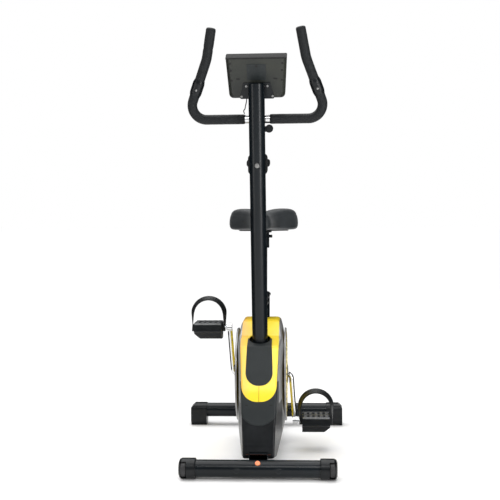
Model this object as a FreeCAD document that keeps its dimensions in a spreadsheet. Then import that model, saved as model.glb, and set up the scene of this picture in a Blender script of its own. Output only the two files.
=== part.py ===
import FreeCAD, Part
import math
import os
import re
import Sketcher

# An upright magnetic exercise bike. Front is -Y, +X is the rider's left, +Z is up.
# The origin is on the floor, midway between the two stabilisers. Lengths in millimetres.

V = FreeCAD.Vector
X_AXIS = V(1, 0, 0)
Y_AXIS = V(0, 1, 0)
Z_AXIS = V(0, 0, 1)

SIZES = [
    ("fit", 0.05, "radial clearance of a running fit"),
    ("seam", 0.4, "gap between neighbouring covers"),
    ("stab_y", 350, "distance of each stabiliser tube from the middle"),
    ("stab_radius", 25, "outer radius of the stabiliser tubes"),
    ("tube_wall", 2, "wall of the steel tubes"),
    ("front_height", 30, "axis of the front stabiliser above the floor"),
    ("front_half", 195, "half length of the front stabiliser tube"),
    ("front_cap_end", 228, "outer end of a front cap"),
    ("front_cap_start", 179, "inner end of a front cap"),
    ("front_cap_radius", 30, "radius of a front cap"),
    ("wheel_x", 214, "middle of a transport wheel"),
    ("wheel_shift", 8, "transport wheel axis in front of the tube axis"),
    ("wheel_radius", 22, "transport wheel radius"),
    ("wheel_half", 7.5, "half width of a transport wheel"),
    ("wheel_pin", 3, "radius of a transport wheel axle"),
    ("rear_height", 52, "axis of the rear stabiliser above the floor"),
    ("rear_half", 250, "half length of the rear stabiliser tube"),
    ("rear_cap_end", 275, "outer end of a rear cap"),
    ("rear_cap_start", 218, "inner end of a rear cap"),
    ("bolt_x", 60, "carriage bolts each side of the middle"),
    ("bolt_radius", 4, "carriage bolt shank radius"),
    ("bolt_head", 9, "carriage bolt head radius"),
    ("base_half_width", 27, "half width of the base tube"),
    ("base_half_height", 18, "half height of the base tube"),
    ("base_height", 48, "axis of the base tube above the floor"),
    ("plate", 4, "thickness of the steel plates"),
    ("mast_y", -131, "mast axis at its foot"),
    ("mast_z", 280, "height of the mast foot"),
    ("mast_lean", 9.1, "forward lean of the mast in degrees"),
    ("mast_radius", 24, "outer radius of the mast"),
    ("mast_length", 876, "length of the mast tube"),
    ("socket_radius", 27, "outer radius of the mast socket"),
    ("socket_length", 95, "length of the mast socket"),
    ("bar_reach", 771.5, "handlebar clamp along the mast"),
    ("bar_offset", 40, "handlebar axis behind the mast axis"),
    ("bar_lean", 16, "forward lean of the handlebar in degrees"),
    ("bar_radius", 12.5, "handlebar tube radius"),
    ("bar_top", 266, "height of the handlebar ends in the bar's plane"),
    ("foam_radius", 14.7, "lower sleeve radius"),
    ("grip_radius", 15.7, "upper grip radius"),
    ("foam_start", 37, "inner end of each sleeve from the middle"),
    ("clamp_half", 19, "half width of the handlebar clamp"),
    ("tension_reach", 638, "tension control along the mast"),
    ("console_y", -250, "console back face, middle"),
    ("console_z", 1163, "console back face, middle height"),
    ("console_tilt", 29, "console lean in degrees"),
    ("console_half", 90.5, "half width of the console"),
    ("console_rise", 64, "half height of the console"),
    ("console_deep", 24, "depth of the console back half"),
    ("console_thick", 38, "depth of the whole console"),
    ("crank_z", 245, "crank axis above the floor"),
    ("crank_throw", 152, "crank axis to pedal axis"),
    ("crank_radius", 9, "crank axle radius"),
    ("crank_tip_x", 112, "outer face of a crank arm tip"),
    ("crank_shell_half", 34, "half width of the crank shell"),
    ("crank_shell_radius", 23, "outer radius of the crank shell"),
    ("pulley_radius", 118, "drive pulley radius"),
    ("pulley_x", -52, "middle of the belt line"),
    ("pulley_half", 6, "half width of the belt line"),
    ("fly_y", -155, "flywheel axis"),
    ("fly_z", 160, "flywheel axis height"),
    ("fly_radius", 92, "flywheel radius"),
    ("fly_half", 11, "half width of the flywheel rim"),
    ("small_pulley", 17, "radius of the pulley on the flywheel shaft"),
    ("shaft_radius", 8, "flywheel shaft radius"),
    ("pedal_x", 174, "middle of a pedal"),
    ("pedal_half", 45, "half width of a pedal"),
    ("pedal_reach", 46, "half length of a pedal"),
    ("pin_radius", 6, "pedal spindle radius"),
    ("strap_wide", 24, "pedal strap width"),
    ("strap_thick", 2.5, "pedal strap thickness"),
    ("strap_radius", 53.5, "outer radius of the strap arch"),
    ("seat_y", -14, "seat tube axis at its reference point"),
    ("seat_z", 300, "height of the seat tube reference point"),
    ("seat_lean", 15, "rearward lean of the seat tube in degrees"),
    ("seat_radius", 25, "outer radius of the seat tube"),
    ("seat_top", 207, "seat tube end along its axis"),
    ("post_radius", 16.5, "seat post radius"),
    ("post_foot", 88, "seat post lower end along the axis"),
    ("post_top", 400, "seat post upper end along the axis"),
    ("knob_reach", 184, "seat knob along the seat tube"),
    ("saddle_z", 713, "underside of the saddle cushion"),
    ("saddle_high", 77, "thickness of the saddle cushion"),
    ("shell_half", 74, "half width of the drive housing"),
    ("shell_wall", 3, "wall of the drive housing"),
    ("disc_radius", 150, "radius of the round side covers"),
    ("disc_thick", 6, "thickness of the round side covers"),
    ("nose_half", 44, "half width of the housing at its nose"),
    ("crown_half", 60, "half width of the housing at its top"),
    ("sole_half", 36, "half width of the housing at its underside"),
    ("lid_half", 58, "half width of the upper cover"),
    ("boot_back", 145, "parting line between the boot and the cover behind it"),
]

doc = FreeCAD.newDocument("ExerciseBike")
sheet = doc.addObject("Spreadsheet::Sheet", "Sizes")
for row, (alias, size, note) in enumerate(SIZES, start=1):
    sheet.set(f"A{row}", note)
    sheet.set(f"B{row}", str(size))
    sheet.setAlias(f"B{row}", alias)
doc.recompute()
ALIASES = re.compile(r"\b(" + "|".join(row[0] for row in SIZES) + r")\b")
nodes = []


def link(expression):
    """Turn 'mast_radius + fit' into the expression that reads the sheet."""
    return ALIASES.sub(r"Sizes.\1", str(expression))


def size(expression):
    return float(sheet.evalExpression(link(expression)))


def rotation_to(direction):
    return FreeCAD.Rotation(Z_AXIS, direction)


def leaning(x, y, z, degrees):
    """A frame whose Z axis leans towards -Y by the given angle."""
    return FreeCAD.Placement(V(size(x), size(y), size(z)), FreeCAD.Rotation(X_AXIS, size(degrees)))


MAST = leaning(0, "mast_y", "mast_z", "mast_lean")
SEAT = leaning(0, "seat_y", "seat_z", "-seat_lean")
CONSOLE = leaning(0, "console_y", "console_z", "console_tilt")
BAR_CENTRE = MAST.multVec(V(0, size("bar_offset"), size("bar_reach")))
BAR = FreeCAD.Placement(BAR_CENTRE, FreeCAD.Rotation(X_AXIS, size("bar_lean")))


def keep(thing, name):
    """Name a finished sub-part: its label is its file name."""
    thing.Label = name
    nodes.append(thing)
    return thing


# ---------------------------------------------------------------- drawing helpers

def new_body(name, place=None):
    body = doc.addObject("PartDesign::Body", name)
    if place:
        body.Placement = place
    return body


def new_sketch(body, plane, shift=0):
    flat = next(f for f in body.Origin.OriginFeatures if f.Role == plane)
    sketch = body.newObject("Sketcher::SketchObject", body.Name + "_sketch")
    sketch.AttachmentSupport = (flat, [""])
    sketch.MapMode = "FlatFace"
    sketch.setExpression("AttachmentOffset.Base.z", link(shift))
    return sketch


def bind(sketch, kind, geometry, point, expression):
    """Hold one coordinate of a sketch point to a sheet expression."""
    amount = size(expression)
    if abs(amount) < 1e-9:
        axis = -2 if kind == "DistanceX" else -1
        sketch.addConstraint(Sketcher.Constraint("PointOnObject", geometry, point, axis))
        return
    row = sketch.addConstraint(Sketcher.Constraint(kind, -1, 1, geometry, point, amount))
    sketch.setExpression(f"Constraints[{row}]", link(expression))


def outline(sketch, corners):
    """A closed polygon; each corner is a pair of sheet expressions."""
    spots = [V(size(a), size(b), 0) for a, b in corners]
    first = sketch.GeometryCount
    count = len(spots)
    for i in range(count):
        sketch.addGeometry(Part.LineSegment(spots[i], spots[(i + 1) % count]), False)
    for i in range(count):
        after = first + (i + 1) % count
        sketch.addConstraint(Sketcher.Constraint("Coincident", first + i, 2, after, 1))
    for i, (a, b) in enumerate(corners):
        bind(sketch, "DistanceX", first + i, 1, a)
        bind(sketch, "DistanceY", first + i, 1, b)
    return sketch


def circle(sketch, x, y, radius):
    index = sketch.addGeometry(Part.Circle(V(size(x), size(y), 0), Z_AXIS, size(radius)), False)
    row = sketch.addConstraint(Sketcher.Constraint("Radius", index, size(radius)))
    sketch.setExpression(f"Constraints[{row}]", link(radius))
    bind(sketch, "DistanceX", index, 3, x)
    bind(sketch, "DistanceY", index, 3, y)
    return sketch


def rounded_curve(corners, closed):
    """Lines and tangent arcs through (x, y, radius) corners."""
    count = len(corners)
    spots = [V(a, b, 0) for a, b, _ in corners]
    pieces = []
    start = None
    first_start = None
    for i in range(count):
        here = spots[i]
        if not closed and i in (0, count - 1):
            before, after, middle = here, here, None
        else:
            back = (spots[i - 1] - here).normalize()
            ahead = (spots[(i + 1) % count] - here).normalize()
            half = back.getAngle(ahead) / 2
            cut = corners[i][2] / math.tan(half)
            before, after = here + back * cut, here + ahead * cut
            bisector = (back + ahead).normalize()
            middle = here + bisector * (corners[i][2] / math.sin(half) - corners[i][2])
        if start is not None and (before - start).Length > 1e-6:
            pieces.append(Part.LineSegment(start, before))
        if middle is not None:
            pieces.append(Part.Arc(before, middle, after))
        if first_start is None:
            first_start = before
        start = after
    if closed:
        pieces.append(Part.LineSegment(start, first_start))
    return pieces


def chain(sketch, pieces, closed):
    """Draw pieces end to end and hold the ends together."""
    ends = []
    for piece in pieces:
        index = sketch.addGeometry(piece, False)
        forward = (sketch.getPoint(index, 2) - piece.EndPoint).Length < 1e-6
        ends.append((index, 1, 2) if forward else (index, 2, 1))
    followers = ends[1:] + ends[:1] if closed else ends[1:]
    for (here, _, finish), (after, begin, _) in zip(ends, followers):
        sketch.addConstraint(Sketcher.Constraint("Coincident", here, finish, after, begin))
    return sketch


def rounded(sketch, corners, closed=True):
    """Draw a rounded outline or path; corners are (x, y, radius) numbers or expressions."""
    numbers = [(size(a), size(b), size(r)) for a, b, r in corners]
    return chain(sketch, rounded_curve(numbers, closed), closed)


def pad(body, sketch, length, both_ways=True, backwards=False):
    feature = body.newObject("PartDesign::Pad", body.Name + "_pad")
    feature.Profile = sketch
    feature.setExpression("Length", link(length))
    feature.SideType = "Symmetric" if both_ways else "One side"
    feature.Reversed = backwards
    doc.recompute()
    return feature


def pocket(body, sketch, length, both_ways=True, backwards=False):
    before = body.Shape.Volume
    feature = body.newObject("PartDesign::Pocket", body.Name + "_pocket")
    feature.Profile = sketch
    feature.setExpression("Length", link(length))
    feature.SideType = "Symmetric" if both_ways else "One side"
    feature.Reversed = backwards
    doc.recompute()
    if body.Shape.Volume > before - 1e-6:
        raise ValueError(f"{feature.Label} removes nothing")
    return feature


def soften(body, radius, wanted, kind="Fillet"):
    """Round or bevel the edges, in the body's own frame, for which wanted(edge) is true."""
    tip = body.Tip
    names = [f"Edge{i + 1}" for i, edge in enumerate(tip.Shape.Edges) if wanted(edge)]
    feature = body.newObject("PartDesign::" + kind, body.Name + "_soft")
    feature.Base = (tip, names)
    feature.setExpression("Radius" if kind == "Fillet" else "Size", link(radius))
    doc.recompute()
    if "Invalid" in feature.State:
        raise ValueError(f"{feature.Label} cannot be made")
    return feature


def turned(name, profile, base=V(0, 0, 0), direction=Z_AXIS):
    """A solid of revolution; the profile is (radius, distance along the axis)."""
    place = FreeCAD.Placement(base, rotation_to(direction))
    body = new_body(name, place)
    sketch = outline(new_sketch(body, "XZ_Plane"), profile)
    feature = body.newObject("PartDesign::Revolution", name + "_turn")
    feature.Profile = sketch
    feature.ReferenceAxis = (sketch, ["V_Axis"])
    feature.Angle = 360
    return body


def rod(name, radius, start, end, base=V(0, 0, 0), direction=Z_AXIS):
    return turned(name, [(0, start), (radius, start), (radius, end), (0, end)], base, direction)


def ring(name, inner, outer, start, end, base=V(0, 0, 0), direction=Z_AXIS):
    corners = [(inner, start), (outer, start), (outer, end), (inner, end)]
    return turned(name, corners, base, direction)


def along(place, axis=Z_AXIS):
    return place.Rotation.multVec(axis)


def box(name, low, high, place=None):
    """A block between two corners given as sheet expressions."""
    body = new_body(name, place)
    corners = [(low[0], low[1]), (high[0], low[1]), (high[0], high[1]), (low[0], high[1])]
    sketch = outline(new_sketch(body, "XY_Plane", low[2]), corners)
    pad(body, sketch, f"({high[2]}) - ({low[2]})", both_ways=False)
    return body


def joined(kind, name, base, tool):
    feature = doc.addObject("Part::" + kind, name)
    feature.Base = base
    feature.Tool = tool
    return feature


def less(name, base, *tools):
    tool = tools[0] if len(tools) == 1 else gathered(name + "_tools", *tools)
    return joined("Cut", name, base, tool)


def gathered(name, *things):
    feature = doc.addObject("Part::MultiFuse", name)
    feature.Shapes = list(things)
    return feature


def group(name, *things):
    """Separate solids that share one node."""
    feature = doc.addObject("Part::Compound", name)
    feature.Links = list(things)
    return feature


def mirrored(name, source):
    feature = doc.addObject("Part::Mirroring", name)
    feature.Source = source
    feature.Base = V(0, 0, 0)
    feature.Normal = X_AXIS
    return feature


def pipe(body, path, radius, plane="YZ_Plane", shift=0, hollow=False):
    """Sweep a circle along a path sketched on the body's XZ plane."""
    section = circle(new_sketch(body, plane, shift), 0, 0, radius)
    kind = "SubtractivePipe" if hollow else "AdditivePipe"
    feature = body.newObject("PartDesign::" + kind, body.Name + "_pipe")
    feature.Profile = section
    feature.Spine = (path, [])
    doc.recompute()
    return feature


# ---------------------------------------------------------------- base of the frame

FRONT = V(0, -size("stab_y"), size("front_height"))
REAR = V(0, size("stab_y"), size("rear_height"))
PLUG_WAY = V(0, -math.cos(math.radians(52)), math.sin(math.radians(52)))


def stabiliser(name, centre, half):
    return keep(ring(name, "stab_radius - tube_wall", "stab_radius", f"-{half}", half, centre, X_AXIS), name)


def base_frame():
    """Rectangular base tube with a curved bracket at each end."""
    body = new_body("base_tube")
    end = "stab_y - stab_radius - plate"
    sketch = outline(new_sketch(body, "XZ_Plane"), [
        ("-base_half_width", "base_height - base_half_height"),
        ("base_half_width", "base_height - base_half_height"),
        ("base_half_width", "base_height + base_half_height"),
        ("-base_half_width", "base_height + base_half_height")])
    pad(body, sketch, f"2 * ({end})")
    inner = outline(new_sketch(body, "XZ_Plane"), [
        ("tube_wall - base_half_width", "base_height - base_half_height + tube_wall"),
        ("base_half_width - tube_wall", "base_height - base_half_height + tube_wall"),
        ("base_half_width - tube_wall", "base_height + base_half_height - tube_wall"),
        ("tube_wall - base_half_width", "base_height + base_half_height - tube_wall")])
    pocket(body, inner, "2 * stab_y")
    brackets = []
    for side, centre, height in ((-1, FRONT, "front_height"), (1, REAR, "rear_height")):
        near, far = "stab_y - stab_radius - plate", "stab_y - 10"
        ends = (near, far) if side > 0 else (f"-({far})", f"-({near})")
        block = box(f"bracket_block_{side + 2}", ("-bolt_x - 20", ends[0], f"{height} - 18"),
                    ("bolt_x + 20", ends[1], f"{height} + 17"))
        brackets.append(less(f"bracket_{side + 2}", block,
                             rod(f"bracket_hollow_{side + 2}", "stab_radius", -200, 200, centre, X_AXIS)))
    holes = [rod(f"bolt_hole_{i}", "bolt_radius + 0.5", 0, 50, V(x, y, z), V(0, d, 0))
             for i, (x, y, z, d) in enumerate(bolt_places())]
    return keep(less("base_frame", gathered("base_joined", body, *brackets), *holes), "base_frame")


def bolt_places():
    """Tube middle points of the four carriage bolts and the way they point inwards."""
    for centre, inward in ((FRONT, 1), (REAR, -1)):
        for side in (-1, 1):
            yield centre.x + side * size("bolt_x"), centre.y, centre.z, inward


def stabiliser_fasteners():
    """Domed carriage bolts through each tube, with nuts behind the brackets."""
    bolts, nuts = [], []
    out = "-stab_radius"
    back = "stab_radius + plate + 6"
    for i, (x, y, z, inward) in enumerate(bolt_places()):
        centre, way = V(x, y, z), V(0, inward, 0)
        bolts.append(turned(f"bolt_{i}", [
            (0, f"{out} - 4.5"), ("bolt_head - 4", f"{out} - 4"), ("bolt_head", f"{out} - 1"),
            ("bolt_head", out), ("bolt_radius", out), ("bolt_radius", back), (0, back)], centre, way))
        nuts.append(ring(f"nut_{i}", "bolt_radius", "bolt_radius + 3.5", "stab_radius + plate",
                         "stab_radius + plate + 5", centre, way))
    keep(group("stabilizer_bolts", *bolts), "stabilizer_bolts")
    keep(group("stabilizer_nuts", *nuts), "stabilizer_nuts")


def drilled_stabilisers():
    for name, centre, half, rows in (("front_stabilizer", FRONT, "front_half", (0, 1)),
                                     ("rear_stabilizer", REAR, "rear_half", (2, 3))):
        tube = ring(name + "_tube", "stab_radius - tube_wall", "stab_radius", f"-{half}", half,
                    centre, X_AXIS)
        places = list(bolt_places())
        drills = [rod(f"{name}_drill_{i}", "bolt_radius + 0.5", -40, 40,
                      V(*places[i][:3]), Y_AXIS) for i in rows]
        if centre is FRONT:
            drills.append(rod("plug_drill", 4, 0, 40, FRONT, PLUG_WAY))
        keep(less(name, tube, *drills), name)
    plug = turned("front_plug_turn", [(0, "stab_radius - 6"), (4, "stab_radius - 6"),
                                      (4, "stab_radius + 0.2"), (8, "stab_radius + 0.2"),
                                      (7, "stab_radius + 2.5"), (0, "stab_radius + 3")],
                  FRONT, PLUG_WAY)
    keep(plug, "front_plug")


def front_caps():
    """Round caps, each slotted at the front for a small transport wheel."""
    wheel = V(0, FRONT.y - size("wheel_shift"), FRONT.z)
    body = turned("front_cap", [
        ("stab_radius", "front_cap_start"), ("front_cap_radius - 2", "front_cap_start"),
        ("front_cap_radius", "front_cap_start + 2"), ("front_cap_radius", "front_cap_end - 9"),
        ("front_cap_radius - 3", "front_cap_end - 3"), ("front_cap_radius - 9", "front_cap_end"),
        (0, "front_cap_end"), (0, "front_half"), ("stab_radius", "front_half")], FRONT, X_AXIS)
    slot = rod("wheel_slot", "wheel_radius + 1.5", "wheel_x - wheel_half - 1",
               "wheel_x + wheel_half + 1", wheel, X_AXIS)
    mouth = box("wheel_mouth",
                ("wheel_x - wheel_half - 1", "-stab_y - 60", "front_height - wheel_radius - 1.5"),
                ("wheel_x + wheel_half + 1", "-stab_y - wheel_shift",
                 "front_height + wheel_radius + 1.5"))
    bore = rod("wheel_bore", "wheel_pin", "front_half + 3", "front_cap_end + 20", wheel, X_AXIS)
    cap = less("front_cap_left", body, slot, mouth, bore)
    keep(cap, "front_cap_left")
    keep(mirrored("front_cap_right", cap), "front_cap_right")
    tyre = turned("transport_wheel_left", [
        ("wheel_pin + fit", "wheel_x - wheel_half"), ("wheel_radius - 1.5", "wheel_x - wheel_half"),
        ("wheel_radius", "wheel_x - wheel_half + 2"), ("wheel_radius", "wheel_x + wheel_half - 2"),
        ("wheel_radius - 1.5", "wheel_x + wheel_half"), ("wheel_pin + fit", "wheel_x + wheel_half")],
        wheel, X_AXIS)
    keep(tyre, "transport_wheel_left")
    keep(mirrored("transport_wheel_right", tyre), "transport_wheel_right")
    pin = rod("axle_left", "wheel_pin", "front_half + 3", "front_cap_end - 3", wheel, X_AXIS)
    keep(group("wheel_axles", pin, mirrored("axle_right", pin)), "wheel_axles")


def rear_caps():
    """Levelling caps: a faceted foot that turns on the end of the rear tube."""
    body = new_body("rear_cap")
    high, wide = "rear_height + 26", 33
    sketch = rounded(new_sketch(body, "YZ_Plane", "rear_cap_start"), [
        ("stab_y - 20", 0, 3), ("stab_y + 20", 0, 3), (f"stab_y + {wide} - 1", 18, 3),
        (f"stab_y + {wide} - 3", high, 22), (f"stab_y - {wide} + 3", high, 22),
        (f"stab_y - {wide} + 1", 18, 3)])
    pad(body, sketch, "rear_cap_end - rear_cap_start", both_ways=False)
    slope = outline(new_sketch(body, "XZ_Plane", "-stab_y"), [
        ("rear_cap_end + 1", f"{high} - 15"), ("rear_cap_end + 1", f"{high} + 1"),
        ("rear_cap_end - 15", f"{high} + 1")])
    pocket(body, slope, "2 * stab_y")
    bore = rod("rear_cap_bore", "stab_radius + fit", 0, "rear_half + 0.5", REAR, X_AXIS)
    cap = less("rear_cap_left", body, bore)
    keep(cap, "rear_cap_left")
    keep(mirrored("rear_cap_right", cap), "rear_cap_right")


# ---------------------------------------------------------------- uprights

def mast_parts():
    """Leaning mast in its socket, which two plates carry over the flywheel."""
    base, way = MAST.Base, along(MAST)
    socket = ring("socket", "mast_radius", "socket_radius", 0, "socket_length", base, way)
    plates = []
    for side, low in (("left", "base_half_width"), ("right", "-base_half_width - plate")):
        body = new_body(f"fork_{side}")
        sketch = outline(new_sketch(body, "YZ_Plane", low), [
            ("fly_y - 42", "base_height - 6"), ("fly_y + 42", "base_height - 6"), ("fly_y + 30", "fly_z"),
            ("mast_y + 15", "mast_z + 70"), ("mast_y - 40", "mast_z + 70"), ("fly_y - 30", "fly_z")])
        pad(body, sketch, "plate", both_ways=False)
        plates.append(body)
    shaft = rod("fork_bore", "shaft_radius + 0.3", -60, 60, V(0, size("fly_y"), size("fly_z")), X_AXIS)
    keep(less("fork", gathered("fork_joined", socket, *plates), shaft), "fork")
    tube = ring("mast_tube", "mast_radius - tube_wall", "mast_radius", 0, "mast_length", base, way)
    spot = MAST.multVec(V(0, 0, size("tension_reach")))
    drill = rod("mast_drill", "3.3", -40, 40, spot, along(MAST, Y_AXIS))
    keep(less("mast", tube, drill), "mast")
    bolt = turned("mast_bolt_turn", [
        (0, "mast_radius + 5"), (6.5, "mast_radius + 4.5"), (8, "mast_radius + 1.6"),
        (8, "mast_radius + 0.1"), (3, "mast_radius + 0.1"), (3, "mast_radius - 8"),
        (0, "mast_radius - 8")], spot, along(MAST, V(0, -1, 0)))
    keep(bolt, "mast_bolt")


def seat_tube():
    """Seat tube, crank shell and the post down to the base tube, welded together."""
    base, way = SEAT.Base, along(SEAT)
    hub = V(0, 0, size("crank_z"))
    tube = rod("seat_outer", "seat_radius", -45, "seat_top", base, way)
    hollow = rod("seat_inner", "seat_radius - tube_wall", 0, 300, base, way)
    crank_shell = rod("crank_outer", "crank_shell_radius", "-crank_shell_half", "crank_shell_half",
                      hub, X_AXIS)
    crank_bore = rod("crank_inner", "crank_shell_radius - 3", -60, 60, hub, X_AXIS)
    post = rod("down_post", 18, "base_height + base_half_height", "crank_z", V(0, 0, 0), Z_AXIS)
    pin = rod("knob_hole", 7, 0, 60, SEAT.multVec(V(0, 0, size("knob_reach"))), along(SEAT, V(0, -1, 0)))
    joint = gathered("seat_joined", tube, crank_shell, post)
    drilled = less("seat_drilled", joint, hollow, crank_bore, pin)
    spot, forward = SEAT.multVec(V(0, 0, size("knob_reach"))), along(SEAT, V(0, -1, 0))
    sleeve = ring("knob_sleeve", "5 + fit", 7, "seat_radius - tube_wall", "seat_radius + 12", spot, forward)
    keep(gathered("seat_tube", drilled, sleeve), "seat_tube")
    bush = turned("seat_bush_turn", [
        ("post_radius + fit", "seat_top - 40"), ("seat_radius - tube_wall", "seat_top - 40"),
        ("seat_radius - tube_wall", "seat_top"), ("seat_radius + 3", "seat_top"),
        ("seat_radius + 3", "seat_top + 5"), ("seat_radius - 1", "seat_top + 9"),
        ("post_radius + fit", "seat_top + 9")], base, way)
    bush_hole = rod("bush_hole", 7, 0, 60, SEAT.multVec(V(0, 0, size("knob_reach"))),
                    along(SEAT, V(0, -1, 0)))
    keep(less("seat_bush", bush, bush_hole), "seat_bush")
    cups = []
    for side in (-1, 1):
        cups.append(turned(f"cup_{side + 2}", [
            ("crank_radius + fit", "crank_shell_half - 9"), ("crank_shell_radius - 3", "crank_shell_half - 9"),
            ("crank_shell_radius - 3", "crank_shell_half"), ("crank_shell_radius", "crank_shell_half"),
            ("crank_shell_radius", "crank_shell_half + 3"), ("crank_radius + fit", "crank_shell_half + 3")],
            hub, V(side, 0, 0)))
    keep(group("bearing_cups", *cups), "bearing_cups")


def saddle_body(name, inset, low, high):
    """The saddle's plan shape, drawn in by an amount, between two heights."""
    body = new_body(name)
    half = [(32, -12, 16), (36, 50, 40), (64, 120, 60), (124, 170, 30), (127.5, 205, 30),
            (121, 250, 30), (62, 272, 40)]
    right = [(x - inset, y + (inset if y < 0 else -inset if y > 240 else 0), max(r - inset, 3))
             for x, y, r in half]
    corners = right + [(-x, y, r) for x, y, r in reversed(right)]
    sketch = rounded(new_sketch(body, "XY_Plane", low), corners)
    pad(body, sketch, f"({high}) - ({low})", both_ways=False)
    return body


def seat_parts():
    """Sliding post, clamp, saddle pan and cushion, and the pull knob that locks the post."""
    base, way = SEAT.Base, along(SEAT)
    keep(rod("seat_post", "post_radius", "post_foot", "post_top", base, way), "seat_post")
    head = SEAT.multVec(V(0, 0, size("post_top")))
    block = box("clamp_block", (-22, head.y - 24, head.z - 32), (22, head.y + 24, "saddle_z - 8"))
    bolt = rod("clamp_bolt", 5, -33, 33, V(0, head.y, head.z + 6), X_AXIS)
    socket = rod("clamp_socket", "post_radius", "post_top - 60", "post_top", base, way)
    keep(less("saddle_clamp", gathered("clamp_joined", block, bolt), socket), "saddle_clamp")
    pan = saddle_body("saddle_pan", 18, "saddle_z - 8", "saddle_z")
    keep(pan, "saddle_pan")
    cushion = saddle_body("saddle_block", 0, "saddle_z - 6", "saddle_z + saddle_high")
    top = size("saddle_z + saddle_high") - 0.1
    soften(cushion, 24, lambda edge: edge.BoundBox.ZMin > top)
    keep(less("saddle", cushion, pan), "saddle")
    spot = SEAT.multVec(V(0, 0, size("knob_reach")))
    forward = along(SEAT, V(0, -1, 0))
    knob = turned("knob_turn", [
        (0, "post_radius + 0.3"), (5, "post_radius + 0.3"), (5, "seat_radius + 14"),
        (11, "seat_radius + 14"), (11, "seat_radius + 20"), (24, "seat_radius + 24"),
        (27, "seat_radius + 30"), (27, "seat_radius + 38"), (22, "seat_radius + 44"),
        (0, "seat_radius + 46")], spot, forward)
    notches = []
    for i in range(6):
        turn = math.radians(60 * i)
        place = FreeCAD.Placement(spot, rotation_to(forward))
        centre = place.multVec(V(31 * math.cos(turn), 31 * math.sin(turn), 0))
        notches.append(rod(f"knob_notch_{i}", 8, "seat_radius + 18", "seat_radius + 60", centre, forward))
    keep(less("seat_knob", knob, *notches), "seat_knob")


# ---------------------------------------------------------------- drive inside the housing

def crank_parts():
    """One-piece crank with its pulley, and the pedals on their spindles."""
    hub = V(0, 0, size("crank_z"))
    body = new_body("crank_bar", FreeCAD.Placement(hub, FreeCAD.Rotation()))
    tip, elbow = "crank_tip_x - 7", "shell_half + disc_thick + 14"
    path = rounded(new_sketch(body, "XZ_Plane"), [
        (f"-({tip})", "crank_throw", 0), (f"-({elbow})", 0, 16), (elbow, 0, 16),
        (tip, "-crank_throw", 0)], closed=False)
    section = circle(new_sketch(body, "XY_Plane", "crank_throw"), f"-({tip})", 0, "crank_radius - 1")
    feature = body.newObject("PartDesign::AdditivePipe", "crank_sweep")
    feature.Profile = section
    feature.Spine = (path, [])
    doc.recompute()
    axle = rod("crank_axle", "crank_radius", -70, 70, hub, X_AXIS)
    eyes = [ring(f"crank_eye_{side + 2}", "pin_radius", "pin_radius + 8", "crank_tip_x - 14", "crank_tip_x",
                 V(0, 0, size(f"crank_z - {side} * crank_throw")), V(side, 0, 0)) for side in (-1, 1)]
    bores = [rod(f"eye_bore_{side + 2}", "pin_radius", 60, 200,
                 V(0, 0, size(f"crank_z - {side} * crank_throw")), V(side, 0, 0)) for side in (-1, 1)]
    keep(less("crank", gathered("crank_joined", body, axle, *eyes), *bores), "crank")
    middle = V(size("pulley_x"), 0, size("crank_z"))
    pulley = turned("drive_pulley_turn", [
        ("crank_radius", "-pulley_half"), (20, "-pulley_half"), (20, -2.5), ("pulley_radius - 8", -2.5),
        ("pulley_radius - 8", "-pulley_half"), ("pulley_radius", "-pulley_half"),
        ("pulley_radius", "pulley_half"), ("pulley_radius - 8", "pulley_half"),
        ("pulley_radius - 8", 2.5), (20, 2.5), (20, "pulley_half"), ("crank_radius", "pulley_half")],
        middle, X_AXIS)
    keep(pulley, "drive_pulley")
    spindles = []
    for side, name in ((1, "left"), (-1, "right")):
        axis = V(0, 0, size(f"crank_z - {side} * crank_throw"))
        spindles.append(turned(f"spindle_{name}", [
            (0, "crank_tip_x - 14"), ("pin_radius", "crank_tip_x - 14"), ("pin_radius", "crank_tip_x"),
            ("pin_radius + 3", "crank_tip_x"), ("pin_radius + 3", "crank_tip_x + 5"),
            ("pin_radius", "crank_tip_x + 5"), ("pin_radius", "pedal_x + pedal_half - 6"),
            (0, "pedal_x + pedal_half - 6")], axis, V(side, 0, 0)))
        pedal(name, side, axis)
    keep(group("pedal_spindles", *spindles), "pedal_spindles")


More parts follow.
